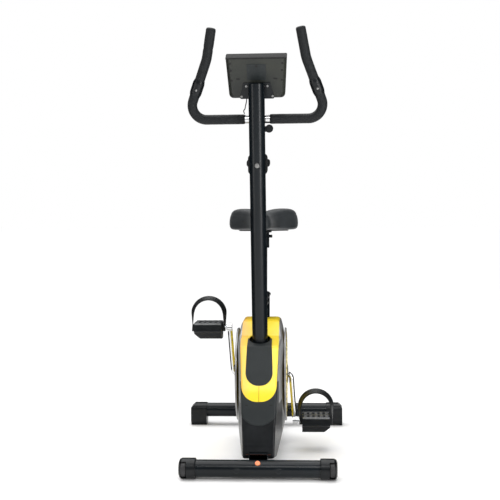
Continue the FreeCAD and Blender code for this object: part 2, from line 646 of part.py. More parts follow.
def pedal(name, side, axis):
    """Weighted pedal body and the strap that arches over it."""
    place = FreeCAD.Placement(axis + V(side * size("pedal_x"), 0, 0), FreeCAD.Rotation())
    body = new_body(f"pedal_body_{name}", place)
    sketch = rounded(new_sketch(body, "YZ_Plane"), [
        ("-pedal_reach", -10, 4), ("-pedal_reach + 6", 16, 4), ("pedal_reach - 6", 16, 4),
        ("pedal_reach", -10, 4), ("pedal_reach - 14", -14, 6), (22, -35, 6), (-22, -35, 6),
        ("14 - pedal_reach", -14, 6)])
    pad(body, sketch, "2 * pedal_half")
    corner = new_sketch(body, "XZ_Plane")
    reach = f"{side} * pedal_half"
    outline(corner, [(f"{reach} + {side}", -36), (f"{reach} + {side}", -17), (f"{reach} - {side} * 20", -36)])
    pocket(body, corner, "4 * pedal_reach")
    lugs = box(f"pedal_lugs_{name}", ("-pedal_half - 6", -15, -11), ("pedal_half + 6", 15, 10), place)
    body = gathered(f"pedal_block_{name}", body, lugs)
    bore = rod(f"pedal_bore_{name}", "pin_radius + fit", "crank_tip_x + 5", "pedal_x + pedal_half - 5.5",
               axis, V(side, 0, 0))
    keep(less(f"pedal_{name}", body, bore), f"pedal_{name}")
    strap = new_body(f"strap_band_{name}", place)
    inner = "strap_radius - strap_thick"
    low, spring = -12, 43
    section = rounded(new_sketch(strap, "XZ_Plane"), [
        ("-strap_radius", low, 0.01), (f"-({inner})", low, 0.01),
        (f"-({inner})", f"{spring} + {inner}", f"{inner} - 0.01"),
        (inner, f"{spring} + {inner}", f"{inner} - 0.01"),
        (inner, low, 0.01), ("strap_radius", low, 0.01),
        ("strap_radius", f"{spring} + strap_radius", "strap_radius - 0.01"),
        ("-strap_radius", f"{spring} + strap_radius", "strap_radius - 0.01")])
    pad(strap, section, "strap_wide")
    eyelet = rod(f"strap_bore_{name}", "pin_radius + 1.5", "crank_tip_x", "pedal_x", axis, V(side, 0, 0))
    keep(less(f"strap_{name}", strap, eyelet), f"strap_{name}")


def drive():
    """Belt, flywheel, its shaft and the hinged magnet bracket."""
    middle = V(0, size("fly_y"), size("fly_z"))
    wheel = turned("flywheel_turn", [
        ("shaft_radius", -20), (16, -20), (16, -4), ("fly_radius - 20", -4), ("fly_radius - 20", "-fly_half"),
        ("fly_radius", "-fly_half"), ("fly_radius", "fly_half"), ("fly_radius - 20", "fly_half"),
        ("fly_radius - 20", 4), (16, 4), (16, 20), ("shaft_radius", 20)], middle, X_AXIS)
    keep(wheel, "flywheel")
    low, high = "pulley_x - pulley_half", "pulley_x + pulley_half"
    shaft = turned("flywheel_shaft_turn", [
        (0, low), ("small_pulley", low), ("small_pulley", high), (10, high), (10, "-base_half_width - plate - 1"),
        ("shaft_radius", "-base_half_width - plate - 1"), ("shaft_radius", 42), (0, 42)], middle, X_AXIS)
    keep(shaft, "flywheel_shaft")
    belt = new_body("belt", FreeCAD.Placement(V(size("pulley_x"), 0, 0), FreeCAD.Rotation()))
    for radius, cut in ((2.4, False), (0.3, True)):
        sketch = new_sketch(belt, "YZ_Plane")
        chain(sketch, belt_loop(size("pulley_radius") + radius, size("small_pulley") + radius), True)
        if cut:
            pocket(belt, sketch, "4 * pulley_half")
        else:
            pad(belt, sketch, "2 * pulley_half - 2")
    keep(belt, "belt")
    shoe = new_body("magnet_shoe", FreeCAD.Placement(middle, FreeCAD.Rotation()))
    section = new_sketch(shoe, "YZ_Plane")
    near, far = size("fly_radius + 2.5"), size("fly_radius + 10")
    low, mid, high = (math.radians(angle) for angle in (168, 131.5, 95))

    def on_arc(radius, angle):
        return V(radius * math.cos(angle), radius * math.sin(angle), 0)

    chain(section, [
        Part.Arc(on_arc(near, high), on_arc(near, mid), on_arc(near, low)),
        Part.LineSegment(on_arc(near, low), on_arc(far, low)),
        Part.Arc(on_arc(far, low), on_arc(far, mid), on_arc(far, high)),
        Part.LineSegment(on_arc(far, high), on_arc(near, high))], True)
    pad(shoe, section, "2 * fly_half + 6")
    pivot = rod("magnet_pivot", 5, -20, 20, middle + V(0, *on_arc((near + far) / 2, low)[:2]), X_AXIS)
    keep(gathered("magnet_bracket", shoe, pivot), "magnet_bracket")


def belt_loop(large, small):
    """Outside tangent loop round the crank pulley and the flywheel pulley."""
    big = V(0, size("crank_z"), 0)
    little = V(size("fly_y"), size("fly_z"), 0)
    gap = little - big
    spread = math.acos((large - small) / gap.Length)
    heading = math.atan2(gap.y, gap.x)
    way = [V(math.cos(heading + s * spread), math.sin(heading + s * spread), 0) for s in (1, -1)]
    towards = V(gap).normalize()
    return [
        Part.Arc(big + way[0] * large, big - towards * large, big + way[1] * large),
        Part.LineSegment(big + way[1] * large, little + way[1] * small),
        Part.Arc(little + way[1] * small, little + towards * small, little + way[0] * small),
        Part.LineSegment(little + way[0] * small, big + way[0] * large),
    ]


# ---------------------------------------------------------------- drive housing

HOUSING = [(-312, 48, 8), (-306, 84, 30), (-255, 235, 200), (-196, 362, 10), (-126, 386, 12),
           (-50, 429, 70), (206, 429, 185), (206, 21, 188), (-120, 21, 200)]


def inset_corners(corners, amount):
    """Move every side of a clockwise outline inwards and shrink its corner radii."""
    count = len(corners)
    moved = []
    for i in range(count):
        here = V(corners[i][0], corners[i][1], 0)
        back = (here - V(corners[i - 1][0], corners[i - 1][1], 0)).normalize()
        after = corners[(i + 1) % count]
        ahead = (V(after[0], after[1], 0) - here).normalize()
        left, right = V(back.y, -back.x, 0), V(ahead.y, -ahead.x, 0)
        turn = back.x * ahead.y - back.y * ahead.x
        shift = (left + right) * (amount / (1 + left.dot(right)))
        radius = corners[i][2] + (amount if turn > 0 else -amount)
        moved.append((here.x + shift.x, here.y + shift.y, max(radius, 1)))
    return moved


def housing_solid(name, inset):
    """Side view of the housing crossed with its plan view and its front view."""
    side = new_body(name + "_side")
    pad(side, rounded(new_sketch(side, "YZ_Plane"), inset_corners(HOUSING, inset)), "4 * shell_half")
    plan = new_body(name + "_plan")
    half, nose = size("shell_half") - inset, size("nose_half") - inset
    corners = [(half, 300, 5), (half, -95, 200), (nose, -330, 8), (-nose, -330, 8),
               (-half, -95, 200), (-half, 300, 5)]
    pad(plan, rounded(new_sketch(plan, "XY_Plane"), corners), "4 * crank_z")
    front = new_body(name + "_front")
    crown, sole = size("crown_half") - inset, size("sole_half") - inset
    belly = half + 1.5
    corners = [(crown, 430.5, 24), (-crown, 430.5, 24), (-belly, 330, 150), (-belly, 110, 90), (-sole, 0, 5),
               (sole, 0, 5), (belly, 110, 90), (belly, 330, 150)]
    pad(front, rounded(new_sketch(front, "XZ_Plane"), corners), "4 * stab_y")
    return joined("Common", name, joined("Common", name + "_crossed", side, plan), front)


def upright_zone(name, half, bottom, radius, top_half, top):
    """A block seen from the front as a strip with a rounded lower end."""
    body = new_body(name)
    corners = [(-top_half, top, 0.5), (top_half, top, 0.5), (half, bottom, radius), (-half, bottom, radius)]
    sketch = rounded(new_sketch(body, "XZ_Plane", "boot_back"), corners)
    pad(body, sketch, 300, both_ways=False)
    return body


def lid_zone(name, grow):
    """The part of the top behind the mast that the upper cover takes in."""
    body = new_body(name)
    half, rear = size("lid_half") + grow, 70 + grow
    sketch = rounded(new_sketch(body, "XY_Plane", 300), [
        (-half, "-boot_back", 0.5), (half, "-boot_back", 0.5), (half, rear, 40), (-half, rear, 40)])
    pad(body, sketch, 300, both_ways=False)
    return body


def housing():
    """Hollow housing parted into two sides and the covers down its front."""
    outer, inner = housing_solid("outer", 0), housing_solid("inner", size("shell_wall"))
    doc.recompute()
    shell = doc.addObject("Part::Fillet", "outer_round")
    shell.Base = outer
    shell.Edges = [(i + 1, 7.0, 7.0) for i, edge in enumerate(outer.Shape.Edges) if outer_corner(edge)]
    doc.recompute()
    gap = "mast_radius + 1.5"
    cutters = [
        inner,
        rod("mast_way", gap, 60, 300, MAST.Base, along(MAST)),
        rod("mast_mouth", "mast_radius + 9.5", 60, 135, MAST.Base, along(MAST)),
        rod("seat_way", "seat_radius + 1", 60, 300, SEAT.Base, along(SEAT)),
        rod("crank_way", 20, -200, 200, V(0, 0, size("crank_z")), X_AXIS),
        box("base_way", ("-base_half_width - 1", -500, "base_height - base_half_height - 1"),
            ("base_half_width + 1", 500, "base_height + base_half_height + 1")),
    ]
    wall = less("housing_wall", shell, *cutters)
    seam = size("seam")
    lid, lid_grown = lid_zone("lid", 0), lid_zone("lid_grown", seam)
    zones = {"mast_boot": (42, 251, 37, 31.5, 520), "upper_cover": (51, 206, 47, 66, 520),
             "front_panel": (58, 140, 56, 58, 262), "lower_fairing": (80, -60, 1, 80, 192)}
    taken = []
    for name, (half, bottom, radius, top_half, top) in zones.items():
        zone = upright_zone(name + "_zone", half, bottom, radius, top_half, top)
        if name == "upper_cover":
            zone = gathered("upper_zone_whole", zone, lid)
        piece = joined("Common", name + "_whole", wall, zone)
        if taken:
            piece = less(name + "_part", piece, *taken)
        taken.append(upright_zone(name + "_grown", half + seam, bottom - seam, radius, top_half + seam, top))
        if name == "upper_cover":
            taken.append(lid_grown)
        keep(piece, name)
    halves = box("half_zone", (0.2, -500, -50), ("2 * shell_half", 500, 700))
    side = less("housing_left", joined("Common", "left_whole", wall, halves), *taken)
    keep(side, "housing_left")
    keep(mirrored("housing_right", side), "housing_right")
    disc_parts()


def outer_corner(edge):
    """True for the long edges where the housing's sides meet its rim."""
    box_ = edge.BoundBox
    return box_.XMin * box_.XMax > 0 and box_.YLength + box_.ZLength > 5


def disc_parts():
    """Round side covers with a ring of vent holes about the crank."""
    body = new_body("disc_left", FreeCAD.Placement(V(size("shell_half"), 0, size("crank_z")),
                                                   FreeCAD.Rotation(Z_AXIS, X_AXIS)))
    sketch = circle(circle(new_sketch(body, "XY_Plane"), 0, 0, "disc_radius"), 0, 0, 22)
    pad(body, sketch, "disc_thick", both_ways=False)
    soften(body, 4, lambda edge: edge.BoundBox.ZMin > size("disc_thick") - 0.1
           and edge.BoundBox.XLength > size("disc_radius"))
    keep(body, "disc_left")
    keep(mirrored("disc_right", body), "disc_right")


# ---------------------------------------------------------------- handlebar

BAR_CORNER = (212.8, 0)
BAR_BEND = (146.2, 178.8)
BAR_RISE = 0.185


def bar_path(body, end):
    """The rider's left half of the handlebar line, from the middle up to one end."""
    return rounded(new_sketch(body, "XZ_Plane"), [
        (0, 0, 0), (*BAR_CORNER, 42), (*BAR_BEND, 120),
        (BAR_BEND[0] - BAR_RISE * (end - BAR_BEND[1]), end, 0)], closed=False)


def swept(name, radius, end):
    """One sweep round half of the handlebar line."""
    body = new_body(name, BAR)
    path = bar_path(body, end)
    pipe(body, path, radius)
    return body


def handlebar_parts():
    half = swept("bar_half", "bar_radius", size("bar_top"))
    other = mirrored("bar_other", half)
    keep(gathered("handlebar", half, other), "handlebar")
    top = size("bar_top") + 6
    sleeve = swept("sleeve", "foam_radius", top)
    thick = swept("grip", "grip_radius", top)
    upper = box("upper_zone", (0, -60, 130), (400, 60, 400), BAR)
    lower = box("sleeve_zone", ("foam_start", -60, -60), (400, 60, 400), BAR)
    whole = gathered("foam_whole", joined("Common", "sleeve_cut", sleeve, lower),
                     joined("Common", "grip_cut", thick, upper))
    foam = less("foam_left", whole, half)
    keep(foam, "foam_left")
    keep(mirrored("foam_right", foam), "foam_right")
    corner = V(BAR_CORNER[0], 0, BAR_CORNER[1])
    run = (V(BAR_BEND[0], 0, BAR_BEND[1]) - corner).normalize()
    start = BAR.multVec(corner + run * 101)
    way = along(BAR, run)
    sensor = turned("sensor_left", [
        ("foam_radius", -24), (15.6, -24), (17.6, -15), (17.6, 15), (15.6, 24), ("foam_radius", 24)],
        start, way)
    keep(group("pulse_sensors", sensor, mirrored("sensor_right", sensor)), "pulse_sensors")


def clamp_parts():
    """Split clamp behind the mast, closed by a knob below the bar."""
    body = new_body("clamp_shape", FreeCAD.Placement(BAR_CENTRE, MAST.Rotation))
    sketch = rounded(new_sketch(body, "YZ_Plane"), [
        (-30, 14, 2), (4, 20, 12), (20, 14, 12), (20, -40, 5), (-6, -40, 5), (-30, -22, 4)])
    pad(body, sketch, "2 * clamp_half")
    mast_way = rod("clamp_mast_way", "mast_radius", 0, 900, MAST.Base, along(MAST))
    bore = rod("clamp_bore", "bar_radius + fit", -60, 60, BAR_CENTRE, X_AXIS)
    frame = FreeCAD.Placement(BAR_CENTRE, MAST.Rotation)
    split = box("clamp_split", (-60, -2, -60), (60, 2, -8), frame)
    ear = box("clamp_ear", ("clamp_half", -6, -38), (43, 14, -22), frame)
    spot = MAST.multVec(V(34, size("bar_offset"), size("bar_reach") - 30))
    way = along(MAST, Y_AXIS)
    screw_way = rod("clamp_screw_way", "4 + fit", -20, 60, spot, way)
    keep(less("bar_clamp", gathered("clamp_and_ear", body, ear), mast_way, bore, split, screw_way),
         "bar_clamp")
    knob = turned("clamp_knob_turn", [
        (0, -10), (7, -10), (7, -6.3), (4, -6.3), (4, 14.3), (9, 14.3), (12, 18), (12, 32), (9, 36),
        (0, 37)], spot, way)
    keep(knob, "clamp_knob")


def tension_parts():
    """Tension dial on the rider's side of the mast."""
    place = FreeCAD.Placement(MAST.multVec(V(0, 0, size("tension_reach"))), MAST.Rotation)
    body = new_body("tension_block", place)
    sketch = rounded(new_sketch(body, "XZ_Plane", -8), [
        (-29, -30, 12), (29, -30, 12), (29, 30, 12), (-29, 30, 12)])
    pad(body, sketch, 36, both_ways=False, backwards=True)
    way = rod("tension_mast_way", "mast_radius", -200, 200, place.Base, along(MAST))
    keep(less("tension_base", body, way), "tension_base")
    dial = rod("dial", 25, 44.3, 56, place.Base, along(MAST, Y_AXIS))
    grip = new_body("dial_grip", place)
    face = rounded(new_sketch(grip, "XZ_Plane", -50), [
        (-35.5, -10, 8), (0, -14, 60), (35.5, -10, 8), (35.5, 10, 8), (0, 14, 60), (-35.5, 10, 8)])
    pad(grip, face, 24, both_ways=False, backwards=True)
    keep(gathered("tension_knob", dial, grip), "tension_knob")


def cord(name, points, radius):
    """A round cord along straight runs joined by large tangent arcs."""
    edges = []
    start = points[0]
    length = 0
    radii = []
    for i in range(1, len(points) - 1):
        here = points[i]
        back, ahead = points[i - 1] - here, points[i + 1] - here
        cut = 0.45 * min(back.Length, ahead.Length)
        back.normalize()
        ahead.normalize()
        half = back.getAngle(ahead) / 2
        bend = cut * math.tan(half)
        radii.append(round(bend, 1))
        before, after = here + back * cut, here + ahead * cut
        middle = here + (back + ahead).normalize() * (bend / math.sin(half) - bend)
        edges.append(Part.LineSegment(start, before).toShape())
        edges.append(Part.Arc(before, middle, after).toShape())
        start = after
    edges.append(Part.LineSegment(start, points[-1]).toShape())
    wire = Part.Wire(edges)
    length = wire.Length
    ring_edge = Part.makeCircle(radius, points[0], points[1] - points[0])
    shape = wire.makePipeShell([Part.Wire([ring_edge])], True, True)
    feature = doc.addObject("Part::Feature", name)
    feature.Shape = shape
    ratio = shape.Volume / (math.pi * radius ** 2 * length)
    print(name, "length", round(length, 1), "volume ratio", round(ratio, 4), "radii", radii)
    return keep(feature, name)


def pulse_wiring():
    end = BAR.multVec(V(-(size("foam_start") + 2), 0, 0)) + V(0, -1, size("foam_radius") + 1.7)
    start = CONSOLE.multVec(V(-32, size("console_deep") - 8, -size("console_rise") - 0.6))
    route = [start, start + V(-1, 0, -12), start + V(-4, 1, -24), start + V(-6, 2, -35),
             end + V(-3, 4, 10), end]
    cord("pulse_wire", route, 1.5)


# ---------------------------------------------------------------- console

def console_outline(inset=0):
    half, rise = size("console_half") - inset, size("console_rise") - inset
    return [(-half, rise, 3), (half, rise, 3), (half - 7, -rise, 14), (7 - half, -rise, 14)]


def console_parts():
    """Two-part case with screen, button, battery door, bracket and its screws."""
    back = new_body("case_back", CONSOLE)
    pad(back, rounded(new_sketch(back, "XZ_Plane"), console_outline()), "console_deep",
        both_ways=False, backwards=True)
    cavity = new_body("case_cavity", CONSOLE)
    pad(cavity, rounded(new_sketch(cavity, "XZ_Plane", "-3"), console_outline(10)), "console_deep",
        both_ways=False, backwards=True)
    cuts = [cavity]
    for side in (-1, 1):
        for z in (46, 25, -5, -55):
            spot = CONSOLE.multVec(V(side * 77, 0, z))
            cuts.append(rod(f"recess_{side + 2}_{z + 60}", 3, -10, 1.8, spot, along(CONSOLE, Y_AXIS)))
        cuts.append(box(f"vent_{side + 2}", (f"{side} * 55 - 6", -10, -3), (f"{side} * 55 + 6", 1.8, 1),
                        CONSOLE))
    cuts.append(box("door_way", (-28.3, -10, -4.3), (28.3, 1.8, 44.3), CONSOLE))
    keep(less("console_back", back, *cuts), "console_back")
    keep(box("battery_cover", (-28, -1, -4), (28, 1.5, 44), CONSOLE), "battery_cover")
    front = new_body("case_front", CONSOLE)
    pad(front, rounded(new_sketch(front, "XZ_Plane", "-console_deep"), console_outline()),
        "console_thick - console_deep", both_ways=False, backwards=True)
    screen = rounded(new_sketch(front, "XZ_Plane", "-console_thick + 4"), [
        (-60, -20, 6), (60, -20, 6), (60, 50, 6), (-60, 50, 6)])
    pocket(front, screen, 10, both_ways=False, backwards=False)
    circle_hole = circle(new_sketch(front, "XZ_Plane", "-console_deep - 2"), 0, -42, 10.3)
    pocket(front, circle_hole, 20, both_ways=False, backwards=False)
    keep(front, "console_front")
    lens = new_body("console_lens", CONSOLE)
    pad(lens, rounded(new_sketch(lens, "XZ_Plane", "-console_thick + 4"), [
        (-59.8, -19.8, 6), (59.8, -19.8, 6), (59.8, 49.8, 6), (-59.8, 49.8, 6)]), 2,
        both_ways=False, backwards=True)
    keep(lens, "console_lens")
    button = turned("console_button", [(0, "console_deep + 5"), (10, "console_deep + 5"),
                                       (10, "console_thick + 1"), (8, "console_thick + 2"),
                                       (0, "console_thick + 2.5")],
                    CONSOLE.multVec(V(0, 0, -42)), along(CONSOLE, Y_AXIS))
    keep(button, "console_button")
    plate = new_body("bracket_plate", CONSOLE)
    pad(plate, rounded(new_sketch(plate, "XZ_Plane"), [
        (-52, -62, 4), (52, -62, 4), (40, -12, 4), (-40, -12, 4)]),
        3, both_ways=False)
    wedge = box("bracket_wedge", (-14, -34, -60), (14, -3, -24), CONSOLE)
    way = rod("bracket_mast_way", "mast_radius", 0, "mast_length + 100", MAST.Base, along(MAST))
    holes = []
    screws = []
    for i, (x, z) in enumerate(((-31, -22), (31, -22), (-46, -54), (46, -54))):
        spot = CONSOLE.multVec(V(x, 0, z))
        outward = along(CONSOLE, V(0, -1, 0))
        holes.append(rod(f"bracket_hole_{i}", 2.2, -5, 5, spot, outward))
        screws.append(turned(f"console_screw_{i}", [
            (0, 0), (2, 0), (2, 3), (4, 3), (3.4, 5), (0, 5.6)], spot, outward))
    keep(less("console_bracket", gathered("bracket_joined", plate, wedge), way, *holes), "console_bracket")
    keep(group("console_screws", *screws), "console_screws")


# ---------------------------------------------------------------- build and write

def build():
    base_frame()
    drilled_stabilisers()
    stabiliser_fasteners()
    front_caps()
    rear_caps()
    mast_parts()
    seat_tube()
    seat_parts()
    crank_parts()
    drive()
    housing()
    handlebar_parts()
    clamp_parts()
    tension_parts()
    console_parts()
    pulse_wiring()


def write():
    doc.recompute()
    for item in doc.Objects:
        if "Invalid" in item.State or "Error" in item.State:
            raise ValueError(f"{item.Label} failed: {item.State}")
    for item in nodes:
        if item.Shape.isNull() or not item.Shape.isValid():
            raise ValueError(f"{item.Label} has no valid shape")
    os.makedirs("parts", exist_ok=True)
    for item in nodes:
        item.Shape.exportStep(os.path.join("parts", item.Label + ".step"))
    print(len(nodes), "nodes written")


build()
write()
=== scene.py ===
import math
import bmesh
import bpy
from mathutils import Matrix, Vector, noise
from mathutils.bvhtree import BVHTree

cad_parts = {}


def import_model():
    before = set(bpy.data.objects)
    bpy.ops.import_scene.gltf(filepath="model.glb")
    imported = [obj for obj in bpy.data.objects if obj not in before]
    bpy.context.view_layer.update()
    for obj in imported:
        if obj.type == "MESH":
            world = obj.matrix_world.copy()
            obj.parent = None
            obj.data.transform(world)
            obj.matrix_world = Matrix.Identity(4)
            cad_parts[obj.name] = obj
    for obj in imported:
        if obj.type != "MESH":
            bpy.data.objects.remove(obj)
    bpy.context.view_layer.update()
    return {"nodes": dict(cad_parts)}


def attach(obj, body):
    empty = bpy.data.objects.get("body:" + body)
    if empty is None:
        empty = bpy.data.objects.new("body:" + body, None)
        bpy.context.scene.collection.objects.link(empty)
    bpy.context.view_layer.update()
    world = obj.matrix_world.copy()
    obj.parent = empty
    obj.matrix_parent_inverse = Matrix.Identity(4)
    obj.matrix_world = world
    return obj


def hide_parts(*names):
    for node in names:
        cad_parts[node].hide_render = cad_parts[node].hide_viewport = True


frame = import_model()
MM = 0.001


# ---------------------------------------------------------------- frames of the object

def leaning(base, degrees):
    """Place with its origin at a point in millimetres, turned about the X axis."""
    return Matrix.Translation(Vector(base) * MM) @ Matrix.Rotation(math.radians(degrees), 4, "X")


MAST = leaning((0, -131, 280), 9.1)
BAR = leaning(MAST @ Vector((0, 0.040, 0.7715)) / MM, 16)
CONSOLE = leaning((0, -250, 1163), 29)
CRANK_AXIS = Vector((0, 0, 0.245))
PEDALS = {"left": Vector((0.174, 0, 0.093)), "right": Vector((-0.174, 0, 0.397))}
SIDES = {"left": 1, "right": -1}


# ---------------------------------------------------------------- camera, light and floor

# millimetres, metres and degrees
SENSOR, LENS = 36, 63.62
CAMERA_PLACE = (0.1215, -2.87, 0.7384)
CAMERA_TURN = (88.2207, 0.4357, 3.1519)
FAR_CLIP = 300


def camera():
    """A long lens in front of the object, a little to its left, level with the saddle."""
    data = bpy.data.cameras.new("camera")
    data.sensor_width = SENSOR
    data.lens = LENS
    data.clip_end = FAR_CLIP
    item = bpy.data.objects.new("camera", data)
    item.location = CAMERA_PLACE
    item.rotation_euler = [math.radians(angle) for angle in CAMERA_TURN]
    bpy.context.scene.collection.objects.link(item)
    bpy.context.scene.camera = item


def area_light(name, place, target, size, power, tint=(1, 1, 1)):
    """A rectangular lamp at a place, aimed at a target."""
    data = bpy.data.lights.new(name, "AREA")
    data.shape = "RECTANGLE"
    data.size, data.size_y = size
    data.energy = power
    data.color = tint
    item = bpy.data.objects.new(name, data)
    item.location = place
    item.rotation_euler = (Vector(target) - Vector(place)).to_track_quat("-Z", "Y").to_euler()
    bpy.context.scene.collection.objects.link(item)


def world():
    """White to the camera, and a dim cool light on the object itself."""
    scene = bpy.context.scene
    scene.view_settings.view_transform = "Standard"
    sky = bpy.data.worlds.new("studio")
    sky.use_nodes = True
    tree = sky.node_tree
    seen, felt = tree.nodes["Background"], tree.nodes.new("ShaderNodeBackground")
    seen.inputs["Color"].default_value = (1, 1, 1, 1)
    seen.inputs["Strength"].default_value = 1.0
    felt.inputs["Color"].default_value = (0.93, 0.96, 1, 1)
    felt.inputs["Strength"].default_value = 0.14
    choice, rays = tree.nodes.new("ShaderNodeMixShader"), tree.nodes.new("ShaderNodeLightPath")
    tree.links.new(rays.outputs["Is Camera Ray"], choice.inputs["Fac"])
    tree.links.new(felt.outputs["Background"], choice.inputs[1])
    tree.links.new(seen.outputs["Background"], choice.inputs[2])
    tree.links.new(choice.outputs["Shader"], tree.nodes["World Output"].inputs["Surface"])
    scene.world = sky


def lamps():
    """Tall key and fill strips at the sides, a strip above the camera and a wide soft overhead."""
    area_light("key", (2.0, -2.2, 1.1), (0, 0, 0.6), (0.45, 2.6), 46)
    area_light("fill", (-2.6, -1.8, 1.2), (0, 0, 0.5), (0.6, 2.2), 15, (1, 0.97, 0.93))
    area_light("front_high", (0.2, -3.4, 3.0), (0, 0, 0.3), (1.6, 0.8), 34)
    sun = bpy.data.lights.new("overhead", "SUN")
    sun.energy = 3.1
    sun.angle = math.radians(70)
    item = bpy.data.objects.new("overhead", sun)
    item.rotation_euler = (math.radians(-12), math.radians(-10), 0)
    bpy.context.scene.collection.objects.link(item)


def floor():
    """A white floor that runs on past the horizon."""
    half, near, far = 60, -8, 110
    mesh = bpy.data.meshes.new("floor")
    mesh.from_pydata([(-half, near, 0), (half, near, 0), (half, far, 0), (-half, far, 0)], [], [(0, 1, 2, 3)])
    item = bpy.data.objects.new("floor", mesh)
    bpy.context.scene.collection.objects.link(item)
    mesh.materials.append(finish("floor_paint", (0.93, 0.925, 0.92), (0.96, 0.955, 0.95), patch=3,
                                 rough=0.75, spread=0.05, grain=60, depth=0.0002,
                                 Emission_Color=(1, 1, 1, 1), Emission_Strength=0.04))


CARD_SIDE, CARD_FRONT, CARD_BACK, CARD_HIGH = 0.85, -0.5, 2.5, 2.4


def dark_cards():
    """Black cards beside and behind the object, seen in reflections only."""
    for side in (-CARD_SIDE, CARD_SIDE):
        dark_card((side, CARD_FRONT), (side, CARD_BACK))
    dark_card((-0.8, 2.6), (0.8, 2.6))


def dark_card(start, end):
    """Upright black card between two places on the floor."""
    mesh = bpy.data.meshes.new("card")
    corners = [(*start, 0.0), (*end, 0.0), (*end, CARD_HIGH), (*start, CARD_HIGH)]
    mesh.from_pydata(corners, [], [(0, 1, 2, 3)])
    card = bpy.data.objects.new("card", mesh)
    bpy.context.scene.collection.objects.link(card)
    mesh.materials.append(INK["painted_shade_and_card_black"])
    card.visible_camera = card.visible_diffuse = card.visible_shadow = False
    card.visible_transmission = card.visible_volume_scatter = False


# ---------------------------------------------------------------- materials

class Graph:
    """Small helper that adds and joins the nodes of one material."""

    def __init__(self, name):
        self.material = bpy.data.materials.new(name)
        self.material.use_nodes = True
        self.tree = self.material.node_tree
        self.shader = self.tree.nodes["Principled BSDF"]
        self.place = self.add("ShaderNodeTexCoord").outputs["Object"]

    def add(self, kind, **values):
        node = self.tree.nodes.new(kind)
        for key, value in values.items():
            setattr(node, key, value)
        return node

    def join(self, source, target):
        self.tree.links.new(source, target)

    def noise(self, scale, detail=4.0, stretch=None):
        """Cloudy noise, from 0 to 1, which may be drawn out along an axis."""
        node = self.add("ShaderNodeTexNoise")
        node.inputs["Scale"].default_value = scale
        node.inputs["Detail"].default_value = detail
        self.join(self.stretched(stretch), node.inputs["Vector"])
        return node.outputs["Fac"]

    def cells(self, scale, feature="F1"):
        """Distance from the middle of each of many small cells."""
        node = self.add("ShaderNodeTexVoronoi", feature=feature)
        node.inputs["Scale"].default_value = scale
        self.join(self.place, node.inputs["Vector"])
        return node.outputs["Distance"]

    def stretched(self, stretch):
        if stretch is None:
            return self.place
        node = self.add("ShaderNodeMapping")
        node.inputs["Scale"].default_value = stretch
        self.join(self.place, node.inputs["Vector"])
        return node.outputs["Vector"]

    def ramp(self, source, stops):
        """Colour that goes through the given (position, colour) stops as the source rises."""
        node = self.add("ShaderNodeValToRGB")
        points = node.color_ramp.elements
        while len(points) < len(stops):
            points.new(0.5)
        for point, (at, colour) in zip(points, stops):
            point.position = at
            point.color = (*colour, 1)
        self.join(source, node.inputs["Fac"])
        return node.outputs["Color"]

    def spread(self, source, low, high):
        """The source, from 0 to 1, stretched to run from one value to another."""
        node = self.add("ShaderNodeMapRange")
        node.inputs["To Min"].default_value = low
        node.inputs["To Max"].default_value = high
        self.join(source, node.inputs["Value"])
        return node.outputs["Result"]

    def clamped(self, source, low, high):
        """0 below one value of the source, 1 above the other."""
        node = self.add("ShaderNodeMapRange", clamp=True)
        node.inputs["From Min"].default_value = low
        node.inputs["From Max"].default_value = high
        self.join(source, node.inputs["Value"])
        return node.outputs["Result"]

    def mix(self, factor, first, second, blend="MIX"):
        node = self.add("ShaderNodeMix", data_type="RGBA", blend_type=blend)
        self.join(factor, node.inputs["Factor"])
        for value, socket in ((first, node.inputs["A"]), (second, node.inputs["B"])):
            if hasattr(value, "links"):
                self.join(value, socket)
            else:
                socket.default_value = (*value, 1)
        return node.outputs["Result"]

    def bump(self, source, distance, strength=1.0, base=None):
        node = self.add("ShaderNodeBump")
        node.inputs["Distance"].default_value = distance
        node.inputs["Strength"].default_value = strength
        self.join(source, node.inputs["Height"])
        if base is not None:
            self.join(base, node.inputs["Normal"])
        return node.outputs["Normal"]

    def set(self, **values):
        for key, value in values.items():
            self.shader.inputs[key.replace("_", " ")].default_value = value

    def use(self, colour=None, roughness=None, normal=None):
        for source, key in ((colour, "Base Color"), (roughness, "Roughness"), (normal, "Normal")):
            if source is not None:
                self.join(source, self.shader.inputs[key])
        return self.material


def finish(name, dark, light, patch, rough, spread, grain, depth, **extra):
    """Moulded, cast or painted surface: colour drift, uneven gloss and a fine grain.

    The colour drifts in patches, the roughness by a spread either way, and the grain is that fine and deep.
    """
    g = Graph(name)
    colour = g.ramp(g.noise(patch), [(0.35, dark), (0.7, light)])
    roughness = g.spread(g.noise(patch * 5), rough - spread, rough + spread)
    normal = g.bump(g.noise(grain, 3), depth)
    g.set(**extra)
    return g.use(colour, roughness, normal)


def brushed(name, dark, light, rough, stretch, **extra):
    """Metal with fine scratches along one direction and a few faint smudges."""
    g = Graph(name)
    lines = g.noise(260, 5, stretch)
    colour = g.ramp(lines, [(0.3, dark), (0.7, light)])
    smudge = g.spread(g.noise(14), rough * 0.75, rough * 1.4)
    g.set(Metallic=1.0, **extra)
    return g.use(colour, smudge, g.bump(lines, 0.00004))


def vinyl():
    """Leather-like saddle cover: pebbled grain, soft creases and a low sheen."""
    g = Graph("vinyl")
    pebble = g.cells(620, "SMOOTH_F1")
    crease = g.noise(26, 6)
    colour = g.ramp(crease, [(0.3, (0.013, 0.0165, 0.0185)), (0.75, (0.026, 0.030, 0.033))])
    normal = g.bump(pebble, 0.0004, 0.7, g.bump(crease, 0.0012, 0.5))
    g.set(Sheen_Weight=0.12, Sheen_Roughness=0.45, Specular_IOR_Level=0.45)
    return g.use(colour, g.spread(g.noise(90), 0.42, 0.56), normal)


